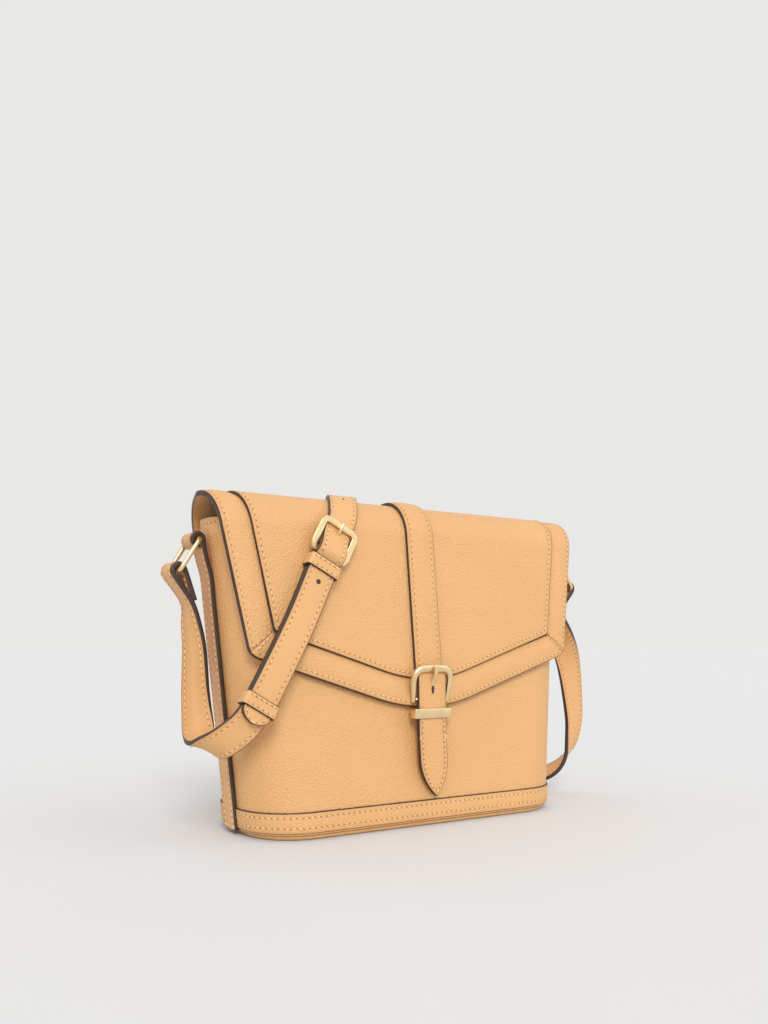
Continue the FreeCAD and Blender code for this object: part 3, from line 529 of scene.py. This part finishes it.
# %% Side strips
def side_strip(name, hand, node_name):
    piece = Piece(name)
    path = [(111.8 + 0.1065 * z, z) for z in (3, 25, 50, 80, 110, 135, 150)] + [(130.5, 160), (132.0, 167)]
    path += [(135.6 + 3.45 * math.cos(math.radians(180 - a)), 170.3 + 3.45 * math.sin(math.radians(a)))
             for a in (20, 50, 80, 110, 140, 170, 200, 230, 260, 285)]
    stations = [((hand * x, 0, z), (0, 16, 0), 2.5) for x, z in path]
    strip(piece, curve(stations, 1.0), 16, crown=0.25, face=FINE, flip=hand > 0, both=False)
    tack = np.array([[hand * (111.8 + 1.7), y, 4.6] for y in np.linspace(-7.2, 7.2, 12)])
    piece.stitches(tack, np.tile([hand, 0, -0.1], (12, 1)), pitch=1.1, long=1.6, hole_shade=False)
    return done(piece, "bag", "tan_leather", node_name)


side_strip("strip_left", -1, "side_strip_left")
side_strip("strip_right", 1, "side_strip_right")


def ring(name, hand):
    tilt = math.radians(32.3)
    down = np.array([hand * math.sin(tilt), 0, -math.cos(tilt)])
    path = flat_loop(22, 21.5, 2.6, (hand * 135.6, 0, 170.3), (0, 1, 0), down, middle=(0, 10.75))
    piece = Piece(f"{name}_metal", [GOLD])
    outline = pill(3.0, 2.5, 0.8)
    bar(piece, path, lambda row: outline, loop=True)
    done(piece, name, "pale_gold", name)


ring("ring_left", -1)
ring("ring_right", 1)

# %% [markdown]
# ## The flap
#
# The flap is one arch over the bag: a lining, a padded trim along its two sides and its V-shaped lower edge,
# and a main panel whose painted edge lies over the trim. A place on it is given by x and by the way along the
# arch, counted from the front's foot, and by how far it stands off the arch.

# %% The arch and its outlines
def arch_line():
    places, normals = [], []
    slope = np.array([-1, 0.1196]) / math.hypot(1, 0.1196)
    for z in np.linspace(60, 177.2, 60):
        places.append((-(44 - 0.1196 * z) - 2, z))
        normals.append(slope)
    start = math.atan2(slope[1], slope[0])
    for angle in np.linspace(start, math.pi / 2 - 0.0963, 26):
        places.append((-4.7 + 20.3 * math.cos(angle), 175.2 + 20.3 * math.sin(angle)))
        normals.append((math.cos(angle), math.sin(angle)))
    for angle in np.linspace(math.pi / 2 - 0.0963, math.pi - start, 26):
        places.append((5.7 + 18.3 * math.cos(angle), 176.2 + 18.3 * math.sin(angle)))
        normals.append((math.cos(angle), math.sin(angle)))
    for z in np.linspace(177.2, 157, 14):
        places.append((45 - 0.1196 * z, z))
        normals.append((-slope[0], slope[1]))
    places, normals = np.array(places), np.array(normals)
    return places, normals, np.concatenate([[0], np.cumsum(np.linalg.norm(np.diff(places, axis=0), axis=1))])


ARCH, ARCH_UP, ARCH_RUN = arch_line()
RIDGE = ARCH_RUN[85]
END = ARCH_RUN[-1]


def along(z):
    """How far along the arch a height on the front lies."""
    return np.interp(z, ARCH[:60, 1], ARCH_RUN[:60])


def on_arch(xs, out):
    """Places and normals for (x, way) pairs at a stand-off."""
    xs = np.asarray(xs, float)
    y, z = (np.interp(xs[..., 1], ARCH_RUN, ARCH[:, k]) for k in range(2))
    ny, nz = (np.interp(xs[..., 1], ARCH_RUN, ARCH_UP[:, k]) for k in range(2))
    up = unit(np.stack([ny * 0, ny, nz], -1))
    out = np.broadcast_to(out, y.shape)
    return np.stack([xs[..., 0], y, z], -1) + up * out[..., None], up


def flap_edge(corner, soft, low, round_low, ridge_half, end_half):
    """Half of a flap outline as (x, way), from the middle of the V round the right corner and over to the back end."""
    corner, bottom = np.array(corner, float), np.array([0.0, low])
    gap = corner - bottom
    heading = math.atan2(gap[1], gap[0]) + math.asin((round_low - soft) / np.linalg.norm(gap))
    right = -math.pi / 2 + heading
    points = [bottom + round_low * np.array([math.cos(a), math.sin(a)])
              for a in np.linspace(-math.pi / 2, right, 9)]
    first = points[-1]
    last = corner + soft * np.array([math.cos(right), math.sin(right)])
    points += [first + (last - first) * t for t in np.linspace(0, 1, 34)[1:]]
    points += [corner + soft * np.array([math.cos(a), math.sin(a)])
               for a in np.linspace(right, 0.17 - 0.34, 13)[1:]]
    points = np.array(points)
    points[:, 1] = along(points[:, 1])
    start = points[-1]
    rise = [start + (np.array([ridge_half, RIDGE]) - start) * t for t in np.linspace(0, 1, 44)[1:]]
    over = [np.array([ridge_half + (end_half - ridge_half) * t, RIDGE + (END - RIDGE) * t])
            for t in np.linspace(0, 1, 22)[1:]]
    return np.concatenate([points, rise, over])


OUTER = flap_edge((108, 111.05), 9, 187.3, 115, 135.0, 122)
INNER = flap_edge((97.7, 120.6), 4, 187.3, 98, 117.2, 105.5)
MITRE = 9 + 33 + 6
print("flap edge rows:", len(OUTER))


def full(edge):
    """Both halves of an outline, left back end to right back end."""
    return np.concatenate([edge[:0:-1] * [-1, 1], edge])


def hinged(piece, *nodes):
    """A piece sewn to the bag's back and bending over the hinge line onto the flap."""
    made = piece.make()
    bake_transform(made)
    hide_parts(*nodes)
    print(made.name, len(made.data.polygons), "faces")


# %% Flap lining
def field(edge, out, rows=30):
    """A surface that fills an outline: each place of its V and corners runs up to the back end."""
    lower = edge[: MITRE + 6]
    lower = np.concatenate([lower[:0:-1] * [-1, 1], lower])
    side = edge[MITRE + 5:]
    share = lower[:, 0] / lower[-1, 0]
    top_rows = []
    for place in side[1:]:
        top_rows.append(np.column_stack([share * place[0], np.full(len(share), place[1])]))
    first = side[4]
    rows_low = []
    for t in np.linspace(0, 1, rows):
        goal = np.column_stack([share * first[0], np.full(len(share), first[1])])
        rows_low.append(lower * (1 - t) + goal * t)
    return np.stack(rows_low + top_rows[4:])


lining_field = field(OUTER - [0.4, 0], 0)
cloth = Piece("flap_lining_cloth")
cloth.grid(on_arch(lining_field, 0.15)[0], FINE)
cloth.grid(on_arch(lining_field, 1.2)[0], FINE)
hinged(cloth, "flap_lining")

# %% [markdown]
# Each trim is a padded strip: it swells between its stitch row and the panel that lies over its inner edge.
# Its outer side is the flap's own painted edge, about three millimetres thick. Two mitres join the three
# trims.

# %% Trims
def trim(name, first, last, mitres, node_name):
    outer, inner = full(OUTER)[first:last], full(INNER)[first:last]
    wide = np.linalg.norm(outer - inner, axis=1)[:, None]
    inward = (inner - outer) / wide
    insets = [0.0, 0.0, 0.02, 0.18, 0.5, 0.95, 1.7, 2.7, 3.8, 5.4, 7.6, 10.0, 12.6, 15.0, 17.6]
    heights = [0.0, 1.4, 2.3, 2.72, 2.95, 3.12, 3.3, 3.25, 3.5, 3.75, 3.85, 3.85, 3.65, 3.2, 2.6]
    dip = np.zeros(len(outer))
    for place in mitres:
        dip += 0.8 * np.exp(-(np.arange(len(outer)) - place) ** 2 / 1.2)
    columns = [on_arch(outer + inward * inset, np.maximum(height - dip * (height > 2.5), 0))[0]
               for inset, height in zip(insets, heights)]
    rim = np.array([1, 1, 1, 1, 0.9, 0.6, 0.25, 0.3, 0.05, 0, 0, 0, 0, 0.2, 0.5])
    piece = Piece(name)
    piece.grid(np.stack(columns, 1), [PAINT_AND_HOLE_SHADE] * 4 + [FACE] * 10, rim[None, :])
    seam, up = on_arch(outer + inward * 2.7, 3.25)
    piece.stitches(seam[1:-1], up[1:-1])
    for place, step in ((mitres[0], 1), (mitres[-1], -1)):
        row = place + step * 2
        if 0 <= row < len(outer):
            across = np.linspace(3.6, wide[row, 0] - 1.2, 12)
            line = outer[row] + np.outer(across, inward[row])
            seam, up = on_arch(line, np.interp(across, insets[4:], heights[4:]))
            piece.stitches(seam, up)
    hinged(piece, node_name)


MIDDLE = len(OUTER) - 1
LEFT, RIGHT = MIDDLE - MITRE, MIDDLE + MITRE
trim("trim_left", 0, LEFT + 1, [LEFT], "flap_trim_left")
trim("trim_lower", LEFT, RIGHT + 1, [0, RIGHT - LEFT], "flap_trim_lower")
trim("trim_right", RIGHT, 2 * MIDDLE + 1, [0], "flap_trim_right")

# %% Flap panel
def inset(path, distance):
    """A path in the flat moved inward, to the left of its run."""
    ahead = unit(np.gradient(path, axis=0))
    return path + np.column_stack([-ahead[:, 1], ahead[:, 0]]) * distance


panel = Piece("flap_panel_leather")
border = full(INNER)
steps = [(0.25, 2.3), (0.0, 2.7), (0.0, 3.9), (0.12, 4.15), (0.5, 4.3), (1.0, 4.38), (1.8, 4.4), (2.8, 4.28),
         (3.8, 4.38), (5.0, 4.40)]
edge_rows = np.stack([on_arch(inset(border, distance), out)[0] for distance, out in steps], 1)
edge_rim = np.array([1, 1, 1, 1, 0.9, 0.6, 0.2, 0.3, 0.05, 0])
panel.grid(edge_rows, [PAINT_AND_HOLE_SHADE] * 4 + [FACE] * 5, edge_rim[None, :])
inner_edge = inset(border, 4.2)[MIDDLE:]
inner_edge[0, 0] = 0
panel.grid(on_arch(field(inner_edge, 0), 4.36)[0], FACE)
seam, up = on_arch(inset(border, 2.8), 4.3)
panel.stitches(seam[2:-2], up[2:-2])
hinged(panel, "flap_panel")

# %% [markdown]
# The centre strap runs over the whole arch, padded and stitched down along both sides. Its dark edges read as
# lines against the panel.

# %% Centre strap
centre = Piece("centre_strap_leather")
ways = np.concatenate([np.linspace(along(89.5), along(175.4), 60), np.linspace(along(176.2), END, 50)])
middle, middle_up = on_arch(np.column_stack([ways * 0, ways]), 5.35)
path = (middle, np.tile([1.0, 0, 0], (len(ways), 1)), middle_up, np.full(len(ways), 2.0))
strip(centre, path, 20, crown=0.95, face=FACE, both=False, seam=2.9)
hinged(centre, "centre_strap")

# %% [markdown]
# ## The closure
#
# A horseshoe buckle is sewn to the end of the centre strap. The tongue hangs from its bar, passes a plain
# metal keeper and ends in a pointed tip, which a hidden magnetic snap holds to the bag.

# %% Tongue
def tongue(name, front, thick, top, nodes):
    piece = Piece(name)
    heights = np.concatenate([np.linspace(top, 42, 46),
                              18.2 + 23.8 * np.cos(np.linspace(0, math.pi / 2, 24)[1:])])
    drop = np.clip((42 - heights) / 23.9, 0, 1)
    wide = 20 * (1 - drop ** 2.3) + 0.3
    if top > 90:
        wide = wide * np.sqrt(np.clip(1 - np.clip((heights - top + 4) / 4.2, 0, 1) ** 2, 0.02, 1))
    out = -(44.1 - 0.0265 * heights) - front + thick / 2
    aside = 2.2 * np.clip((60 - heights) / 42, 0, 1) ** 1.5
    places = np.column_stack([aside, out, heights])
    path = (places, np.tile([1.0, 0, 0], (len(heights), 1)), np.tile([0, -1.0, -0.0265], (len(heights), 1)),
            np.full(len(heights), thick))
    strip(piece, path, wide, crown=0.35, face=FACE, seam=2.4, pitch=None)
    if nodes == "closure_tongue":
        up = np.array([0, -1.0, -0.0265])
        rows = heights < 74
        side = np.maximum(wide[rows] / 2 - 2.3, 0)
        keep = side > 0.6
        right, left = (np.column_stack([aside[rows] + hand * side, out[rows] - thick / 2 - 0.22,
                                        heights[rows]])[keep]
                       for hand in (1, -1))
        border = np.concatenate([right, left[::-1]])
        piece.stitches(border, np.tile(up, (len(border), 1)), pitch=3.1)
        for hand in (-1, 1):
            tack = np.array([[hand * (10.0 - 0.5 * k), -44.1 + 0.0265 * 54 - 3.1, 54] for k in range(5)],
                            float)
            for lift in (-0.8, 0, 0.8):
                piece.stitches(tack + [0, 0, lift], np.tile(up, (5, 1)), pitch=3, long=2.2, thick=0.34,
                               hole_shade=False)
        # A dark disc in the edge-paint colour over the slot in the tongue: painted shade inside the slot.
        slot = np.array([[1.0 * math.cos(a), -44.1 + 0.0265 * 84 - 3.3, 83.6 + 3.0 * math.sin(a)]
                         for a in np.linspace(0, 2 * math.pi, 17)[:-1]])
        piece.add(slot, [list(range(16))], [PAINT_AND_HOLE_SHADE], 1.0)
    return done(piece, "flap", "tan_leather", nodes)


tongue("tongue_front", 2.8, 1.5, 95.5, "closure_tongue")
tongue("tongue_back", 1.3, 1.3, 75.5, "tongue_backing")

# %% Closure buckle
HOOP = np.array([0, -42.0, 77.5])
HOOP_LEAN = math.radians(12.5)
HOOP_UP = np.array([0, -math.sin(HOOP_LEAN), math.cos(HOOP_LEAN)])
HOOP_OUT = np.array([0, -math.cos(HOOP_LEAN), -math.sin(HOOP_LEAN)])


def hoop_path():
    points = [(11.9, -1.9), (12.05, 0), (12.45, 3.5), (12.9, 7), (13.3, 10.2)]
    points += [(6.7 + 6.6 * math.cos(a), 12.4 + 6.6 * math.sin(a)) for a in np.linspace(0.05, math.pi / 2, 9)]
    points = points + [(-x, z) for x, z in points[::-1]]
    stations = [(HOOP + np.array([x, 0, 0]) + HOOP_UP * z, HOOP_OUT, 1) for x, z in points]
    return curve(stations, 0.8)


hoop = Piece("closure_hoop_metal", [GOLD])
hoop_run = hoop_path()
rows = len(hoop_run[0])


def hoop_section(row):
    share = 1 - abs(2 * row / (rows - 1) - 1)
    wide = 3.0 + 2.2 * share ** 1.2
    angles = np.linspace(0, math.pi, 9)
    dome = np.column_stack([-0.55 + 1.85 * np.sin(angles), wide / 2 * np.cos(angles)])
    return np.concatenate([dome, [(-1.1, -wide / 2), (-1.25, -wide / 2 + 0.3), (-1.25, wide / 2 - 0.3),
                                  (-1.1, wide / 2)]])


bar(hoop, hoop_run, hoop_section)
done(hoop, "flap", "pale_gold", "closure_buckle_frame")

pin = Piece("closure_pin_metal", [GOLD])
pin_path = (np.array([HOOP + [x, 0, 0] for x in np.linspace(-11.2, 11.2, 9)]), np.tile([0, 1.0, 0], (9, 1)),
            np.tile([0, 0, 1.0], (9, 1)))
bar(pin, pin_path, lambda row: pill(1.6, 1.6, 0.79))
done(pin, "flap", "pale_gold", "closure_buckle_pin")


def prong(name, points, across, body, thick=1.7):
    """A bent prong that tapers to a blunt end, with an eye round its bar."""
    piece = Piece(f"{name}_metal", [GOLD])
    run = curve([(point, across, 1) for point in points], 0.5)
    last = len(run[0]) - 1

    def section(row):
        share = row / last
        size = thick * (1.12 - 0.2 * share) * math.sqrt(max(0.05, 1 - max(0, (share - 0.93) / 0.07) ** 2))
        return pill(size * 1.25, size, size * 0.42)

    bar(piece, run, section)
    eye = flat_loop(2.6, 2.6, 1.25, points[0], np.cross(across, [0, 0, 1.0]), [0, 0, 1.0], steps=4)
    bar(piece, eye, lambda row: pill(0.6, 2.4, 0.2, 2), loop=True)
    done(piece, body, "pale_gold", name)


prong("closure_prong", [HOOP + [0, y, z] for y, z in ((0, 0), (-0.1, 1.2), (-0.7, 5.5), (-3.4, 10.6),
                                                      (-6.1, 15.4), (-6.7, 19.2), (-6.8, 21.3))],
      (1.0, 0, 0), "closure_prong", thick=2.1)

slide = Piece("closure_keeper_metal", [GOLD])
slide_run = flat_loop(26.2, 5.0, 0.9, (0, -43.7, 69), (1, 0, 0), (0, 1, 0.0265), steps=4)
bar(slide, slide_run, lambda row: pill(1.25, 6.0, 0.4, 3), loop=True)
done(slide, "flap", "pale_gold", "closure_keeper")

# %% [markdown]
# ## The shoulder strap
#
# One strap in two lengths. The short one hangs from the left ring, turns under and climbs the front to the
# buckle. The long one comes down from the right ring, passes behind the bag, climbs its back, crosses the
# ridge, goes through the buckle and lies over the short one down to its tip. Each run is a listed row of
# stations with the strap's centre and the direction of its width.

# %% Places on the front and in the buckle's own frame
BAR = np.array([-67.1, -36.4, 163.6])
TOP = np.array([-58.3, -35.0, 180.1])
BUCKLE_UP = unit(TOP - BAR)
BUCKLE_X = unit(np.cross([0, 1.0, 0], BUCKLE_UP))
BUCKLE_IN = np.cross(BUCKLE_UP, BUCKLE_X)


def front(x, z, out):
    return (x, -(44 - 0.1196 * z) - 2 - out, z)


def in_buckle(y, z, x=0.0):
    return BAR + BUCKLE_X * x + BUCKLE_IN * y + BUCKLE_UP * z


def ring_fold(hand):
    fold = [(-137.7, 135.5)] + [(-147.09 + 3.65 * math.cos(math.radians(a)),
                                 152.13 + 3.65 * math.sin(math.radians(a)))
                                for a in (19.6, 42, 65, 88, 110, 132, 155, 177, 199.6)]
    return [((-hand * x, 0, z), (0, -18, 0), 2.8) for x, z in fold]


DIAGONAL = (15.35, 0, -9.2)
HANG = [((-139.3, 0, 134.5), (0, -18, 0), 2.8), ((-137, -0.2, 122), (4.4, -17.5, 0), 2.8),
        ((-135.4, -0.5, 109), (7.3, -17, 0), 2.8), ((-134.8, -1, 84), (11, -15.5, -0.5), 2.8),
        ((-135.3, -5.5, 69), (12.5, -13, -2), 2.8)]
TURN = [((-136.7, -13.5, 59), (13.4, -11, -4.5), 2.8), ((-137, -23.5, 54.3), (14, -8, -7), 2.8),
        ((-133.6, -33, 56), (14, -5, -9.5), 2.8), ((-128.2, -39.6, 61), (14, -2.5, -10.5), 2.8),
        ((-122.6, -43, 66.6), (14.4, -0.8, -10), 2.8), (front(-117.9, 72.8, 7.2), DIAGONAL, 2.8)]
RISE = [(front(-115, 77.6, 7.2), DIAGONAL, 2.8), (front(-89, 121, 7), (15.6, 0, -8.8), 2.8),
        (in_buckle(2.3, -14), BUCKLE_X, 2.8), (in_buckle(2.3, -4), BUCKLE_X, 2.6),
        (in_buckle(2.3, -0.6), BUCKLE_X, 1.5),
        (in_buckle(1.7, 1.6), BUCKLE_X, 1.4), (in_buckle(0, 2.35), BUCKLE_X, 1.4),
        (in_buckle(-0.8, 2.2), BUCKLE_X, 1.4)]


def cut(path, first, last):
    return tuple(part[first:last] for part in path)


def nearest(path, place):
    return int(np.argmin(np.linalg.norm(path[0] - np.asarray(place), axis=1)))


# %% Short length
short = curve(ring_fold(-1) + HANG + TURN + RISE, 1.2)
cut_at = nearest(short, HANG[-1][0])
leg = Piece("strap_short_leg")
strip(leg, cut(short, 0, cut_at + 1), 18, flip=True, ends=(PAINT_AND_HOLE_SHADE, None))
leg_mesh = leg.make()
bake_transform(leg_mesh)
climb = Piece("strap_short_climb")
strip(climb, cut(short, cut_at, len(short[0])), 18, flip=True, ends=(None, PAINT_AND_HOLE_SHADE))
climb_mesh = climb.make()
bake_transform(climb_mesh)
for made in (leg_mesh, climb_mesh):
    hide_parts("strap_short")
print("short length:", round(float(np.linalg.norm(np.diff(short[0], axis=0), axis=1).sum())), "mm")

# %% Long length
def over_front(x, degrees):
    a = math.radians(degrees)
    return ((x, -4.7 - 26.2 * math.cos(a), 175.2 + 26.2 * math.sin(a)),
            (15.8, -7.4 * math.sin(a), -7.4 * math.cos(a)), 2.8)


def over_back(x, degrees):
    a = math.radians(degrees)
    return ((x, 5.7 + 24.4 * math.cos(a), 176.2 + 24.4 * math.sin(a)),
            (15.8, -7.2 * math.sin(a), 7.2 * math.cos(a)), 2.8)


TAIL = [((-120.6, -48.3, 68.6), DIAGONAL, 2.8), (front(-115, 77.6, 10.5), DIAGONAL, 2.8),
        (front(-89, 121, 10.2), (15.6, 0, -8.8), 2.8)]
TAIL += [(in_buckle(y, z), BUCKLE_X, 2.8)
         for y, z in ((-0.9, -14), (-0.9, -5.6), (-4.1, -0.5), (0.4, 10), (2.95, 17.4), (2.95, 21))]
CROSS = [over_front(x, a) for x, a in ((-53.8, 26), (-51.2, 42), (-48.4, 58), (-45.4, 74), (-42.4, 90))]
CROSS += [over_back(x, a) for x, a in ((-37.4, 90), (-34.2, 72), (-31, 54), (-28, 36), (-25.4, 20), (-23, 4))]
BEHIND = [((-20.5, 31.8, 165), (16, 0, 8)), ((-15.5, 32.2, 152), (16, 0, 8)), ((5, 34.8, 120), (16, 0, 7.5)),
          ((25, 39.6, 80), (15.6, 0, 8.8)), ((44, 43.4, 48), (14, 0, 11)), ((62, 46.3, 28), (9.5, 0.4, 15)),
          ((86, 48, 16.5), (3.5, 2, 17.5)), ((108, 44.5, 12.4), (2, 5.5, 17)),
          ((126, 34.5, 11.6), (6, 9, 14)),
          ((139.5, 21, 12.2), (10.5, 11, 9)), ((149, 9, 18.5), (12.5, 9.5, 8.5)),
          ((156, 2.5, 31), (14, 6, 9)),
          ((159.5, 0, 51), (15.8, 3, 5)), ((158.5, 0, 71), (17.6, 0.3, 1)), ((153, -1, 98), (16.5, -5.5, 0)),
          ((146.3, -0.8, 118), (8, -16, 0)), ((141.6, -0.2, 129), (2, -18, 0)),
          ((139.3, 0, 134.5), (0, -18, 0))]
LONG = TAIL + CROSS + [(place, across, 2.8) for place, across in BEHIND] + ring_fold(1)[::-1]

long_run = curve(LONG, 1.2)
split = nearest(long_run, (141.3, 0, 137.5))
first_part, second_part = cut(long_run, 0, split + 1), cut(long_run, split, len(long_run[0]))
tip = np.minimum(1, np.arange(len(first_part[0])) * 1.2 / 9.0)
widths = 18 * np.sqrt(np.clip(1 - (1 - tip) ** 2, 0.03, 1))
upper = Piece("strap_long_upper")
strip(upper, first_part, widths, flip=True, ends=(PAINT_AND_HOLE_SHADE, None))


def punched_hole_shade(target, wide, tall):
    """A dark disc of painted shade for a punched hole on the outer face of the long length, near a place."""
    spot = nearest(first_part, target)
    middle, across, rise = (part[spot] for part in first_part[:3])
    angles = np.linspace(0, 2 * math.pi, 17)[:-1]
    rim = np.outer(wide / 2 * np.cos(angles), across) + np.outer(tall / 2 * np.sin(angles),
                                                                 np.cross(rise, across))
    # The disc takes the dark edge-paint colour as painted shade inside the hole.
    upper.add(middle - rise * 1.79 + rim, [list(range(16))], [PAINT_AND_HOLE_SHADE], 1.0)


punched_hole_shade(front(-76.6, 147, 10.2), 3.0, 3.0)
punched_hole_shade(over_front(-49.5, 60)[0], 1.1, 3.4)
upper_mesh = upper.make()
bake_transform(upper_mesh)
lower = Piece("strap_long_lower")
strip(lower, second_part, 18, flip=True, ends=(None, PAINT_AND_HOLE_SHADE))
lower_mesh = lower.make()
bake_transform(lower_mesh)
for made in (upper_mesh, lower_mesh):
    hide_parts("strap_long")
print("long length:", round(float(np.linalg.norm(np.diff(long_run[0], axis=0), axis=1).sum())), "mm")

# %% [markdown]
# The strap's buckle is a flat satin frame with softened corners. Its prong starts on the lower bar, comes up
# through a hole in the strap and rests on the top bar. Two leather keepers hold the layers together.

# %% Strap buckle
buckle = Piece("strap_buckle_metal", [GOLD])
frame_run = flat_loop(22.8, 19.8, 3.2, BAR, BUCKLE_X, BUCKLE_UP, middle=(0, 8.4), steps=2)
outline = pill(3.9, 2.3, 0.45)
bar(buckle, frame_run, lambda row: outline, loop=True)
done(buckle, "flap", "pale_gold", "strap_buckle_frame")
prong("strap_prong", [in_buckle(y, z) for y, z in ((0, 0), (0.3, 1.2), (1.4, 5), (2.2, 8.6), (0.4, 12),
                                                   (-1.9, 15.6), (-2.25, 18.4), (-2.3, 20.4))],
      tuple(BUCKLE_X), "strap_prong", thick=1.7)


def keeper(name, origin, x_axis, up_axis, body):
    """A leather loop round both layers, with painted edges and two stitch rows on its face."""
    piece = Piece(f"{name}_leather")
    inward = np.cross(unit(up_axis), unit(x_axis))
    places, sides, rise = flat_loop(19.9, 7.9, 1.5, origin, x_axis, inward, steps=6)
    dense = 6
    count = len(places)
    at = np.arange(count * dense) / dense
    ring_index = np.arange(count + 1)
    close = lambda values: np.stack([np.interp(at, ring_index, np.append(values[:, k], values[0, k]))
                                     for k in range(3)], 1)
    places, sides = close(places), unit(close(sides))
    ups = np.tile(unit(up_axis), (len(places), 1))
    section = [(-4, -0.6), (-4.05, 0), (-3.9, 0.55), (-3.5, 0.72), (-2.7, 0.78), (-1.9, 0.72), (0, 0.85),
               (1.9, 0.72), (2.7, 0.78),
               (3.5, 0.72), (3.9, 0.55), (4.05, 0), (4, -0.6)]
    grid = np.stack([places + ups * a + sides * b for a, b in section], 1)
    kinds = [PAINT_AND_HOLE_SHADE] * 3 + [FINE] * 6 + [PAINT_AND_HOLE_SHADE] * 3 + [FINE]
    piece.grid(grid, kinds, wrap=True, loop=True)
    for offset in (-2.3, 2.3):
        rows = np.array([origin + unit(x_axis) * x - inward * 4.72 + unit(up_axis) * offset
                         for x in np.linspace(-8.6, 8.6, 20)])
        piece.stitches(rows, np.tile(-inward, (20, 1)), pitch=3.1)
    done(piece, body, "tan_leather", name)


keeper("strap_keeper_fixed", in_buckle(0.7, -9.2), BUCKLE_X, BUCKLE_UP, "flap")
slide_way = unit(np.array(front(-89, 121, 8.6)) - np.array(front(-115, 77.6, 8.85)))
slide_x = unit(np.cross([0, 1.0, 0], slide_way))
keeper("strap_keeper_sliding", np.array(front(-115, 77.6, 8.85)), slide_x, slide_way, "strap_keeper_sliding")

# %% [markdown]
# ## Floor and light
#
# One pale floor runs out to a pale sky, so the bag stands in an even, bright surround with a faint shadow at
# its foot. The key is a broad soft sun from the upper left, with a weaker fill from the right.

# %% Stage
def stage():
    floor = Piece("studio_floor", [FLOOR])
    reach = np.linspace(-60000, 60000, 7)
    floor.grid(np.array([[(x, y, 0) for x in reach] for y in reach]), 0)
    floor.make()


def sun(name, heading, height, strength, wide):
    """A sun that shines from a compass heading (degrees from the bag's right, anticlockwise) and a height."""
    data = bpy.data.lights.new(name, "SUN")
    data.energy, data.angle = strength, math.radians(wide)
    lamp = bpy.data.objects.new(name, data)
    lamp.rotation_euler = (math.radians(90 - height), 0, math.radians(heading + 90))
    scene.collection.objects.link(lamp)


FLOOR = material("studio_paper", PEBBLE, (0.700, 0.704, 0.709), (0.706, 0.710, 0.715), (0.85, 0.95), 0.02,
                 0.0001)
stage()
world = bpy.data.worlds.new("studio")
world.use_nodes = True
world.node_tree.nodes["Background"].inputs["Color"].default_value = (0.815, 0.808, 0.795, 1)
world.node_tree.nodes["Background"].inputs["Strength"].default_value = 1.0
scene.world = world
sun("key", -112, 36, 1.55, 24)
sun("fill", -40, 30, 0.3, 60)
scene.view_settings.view_transform = "Standard"
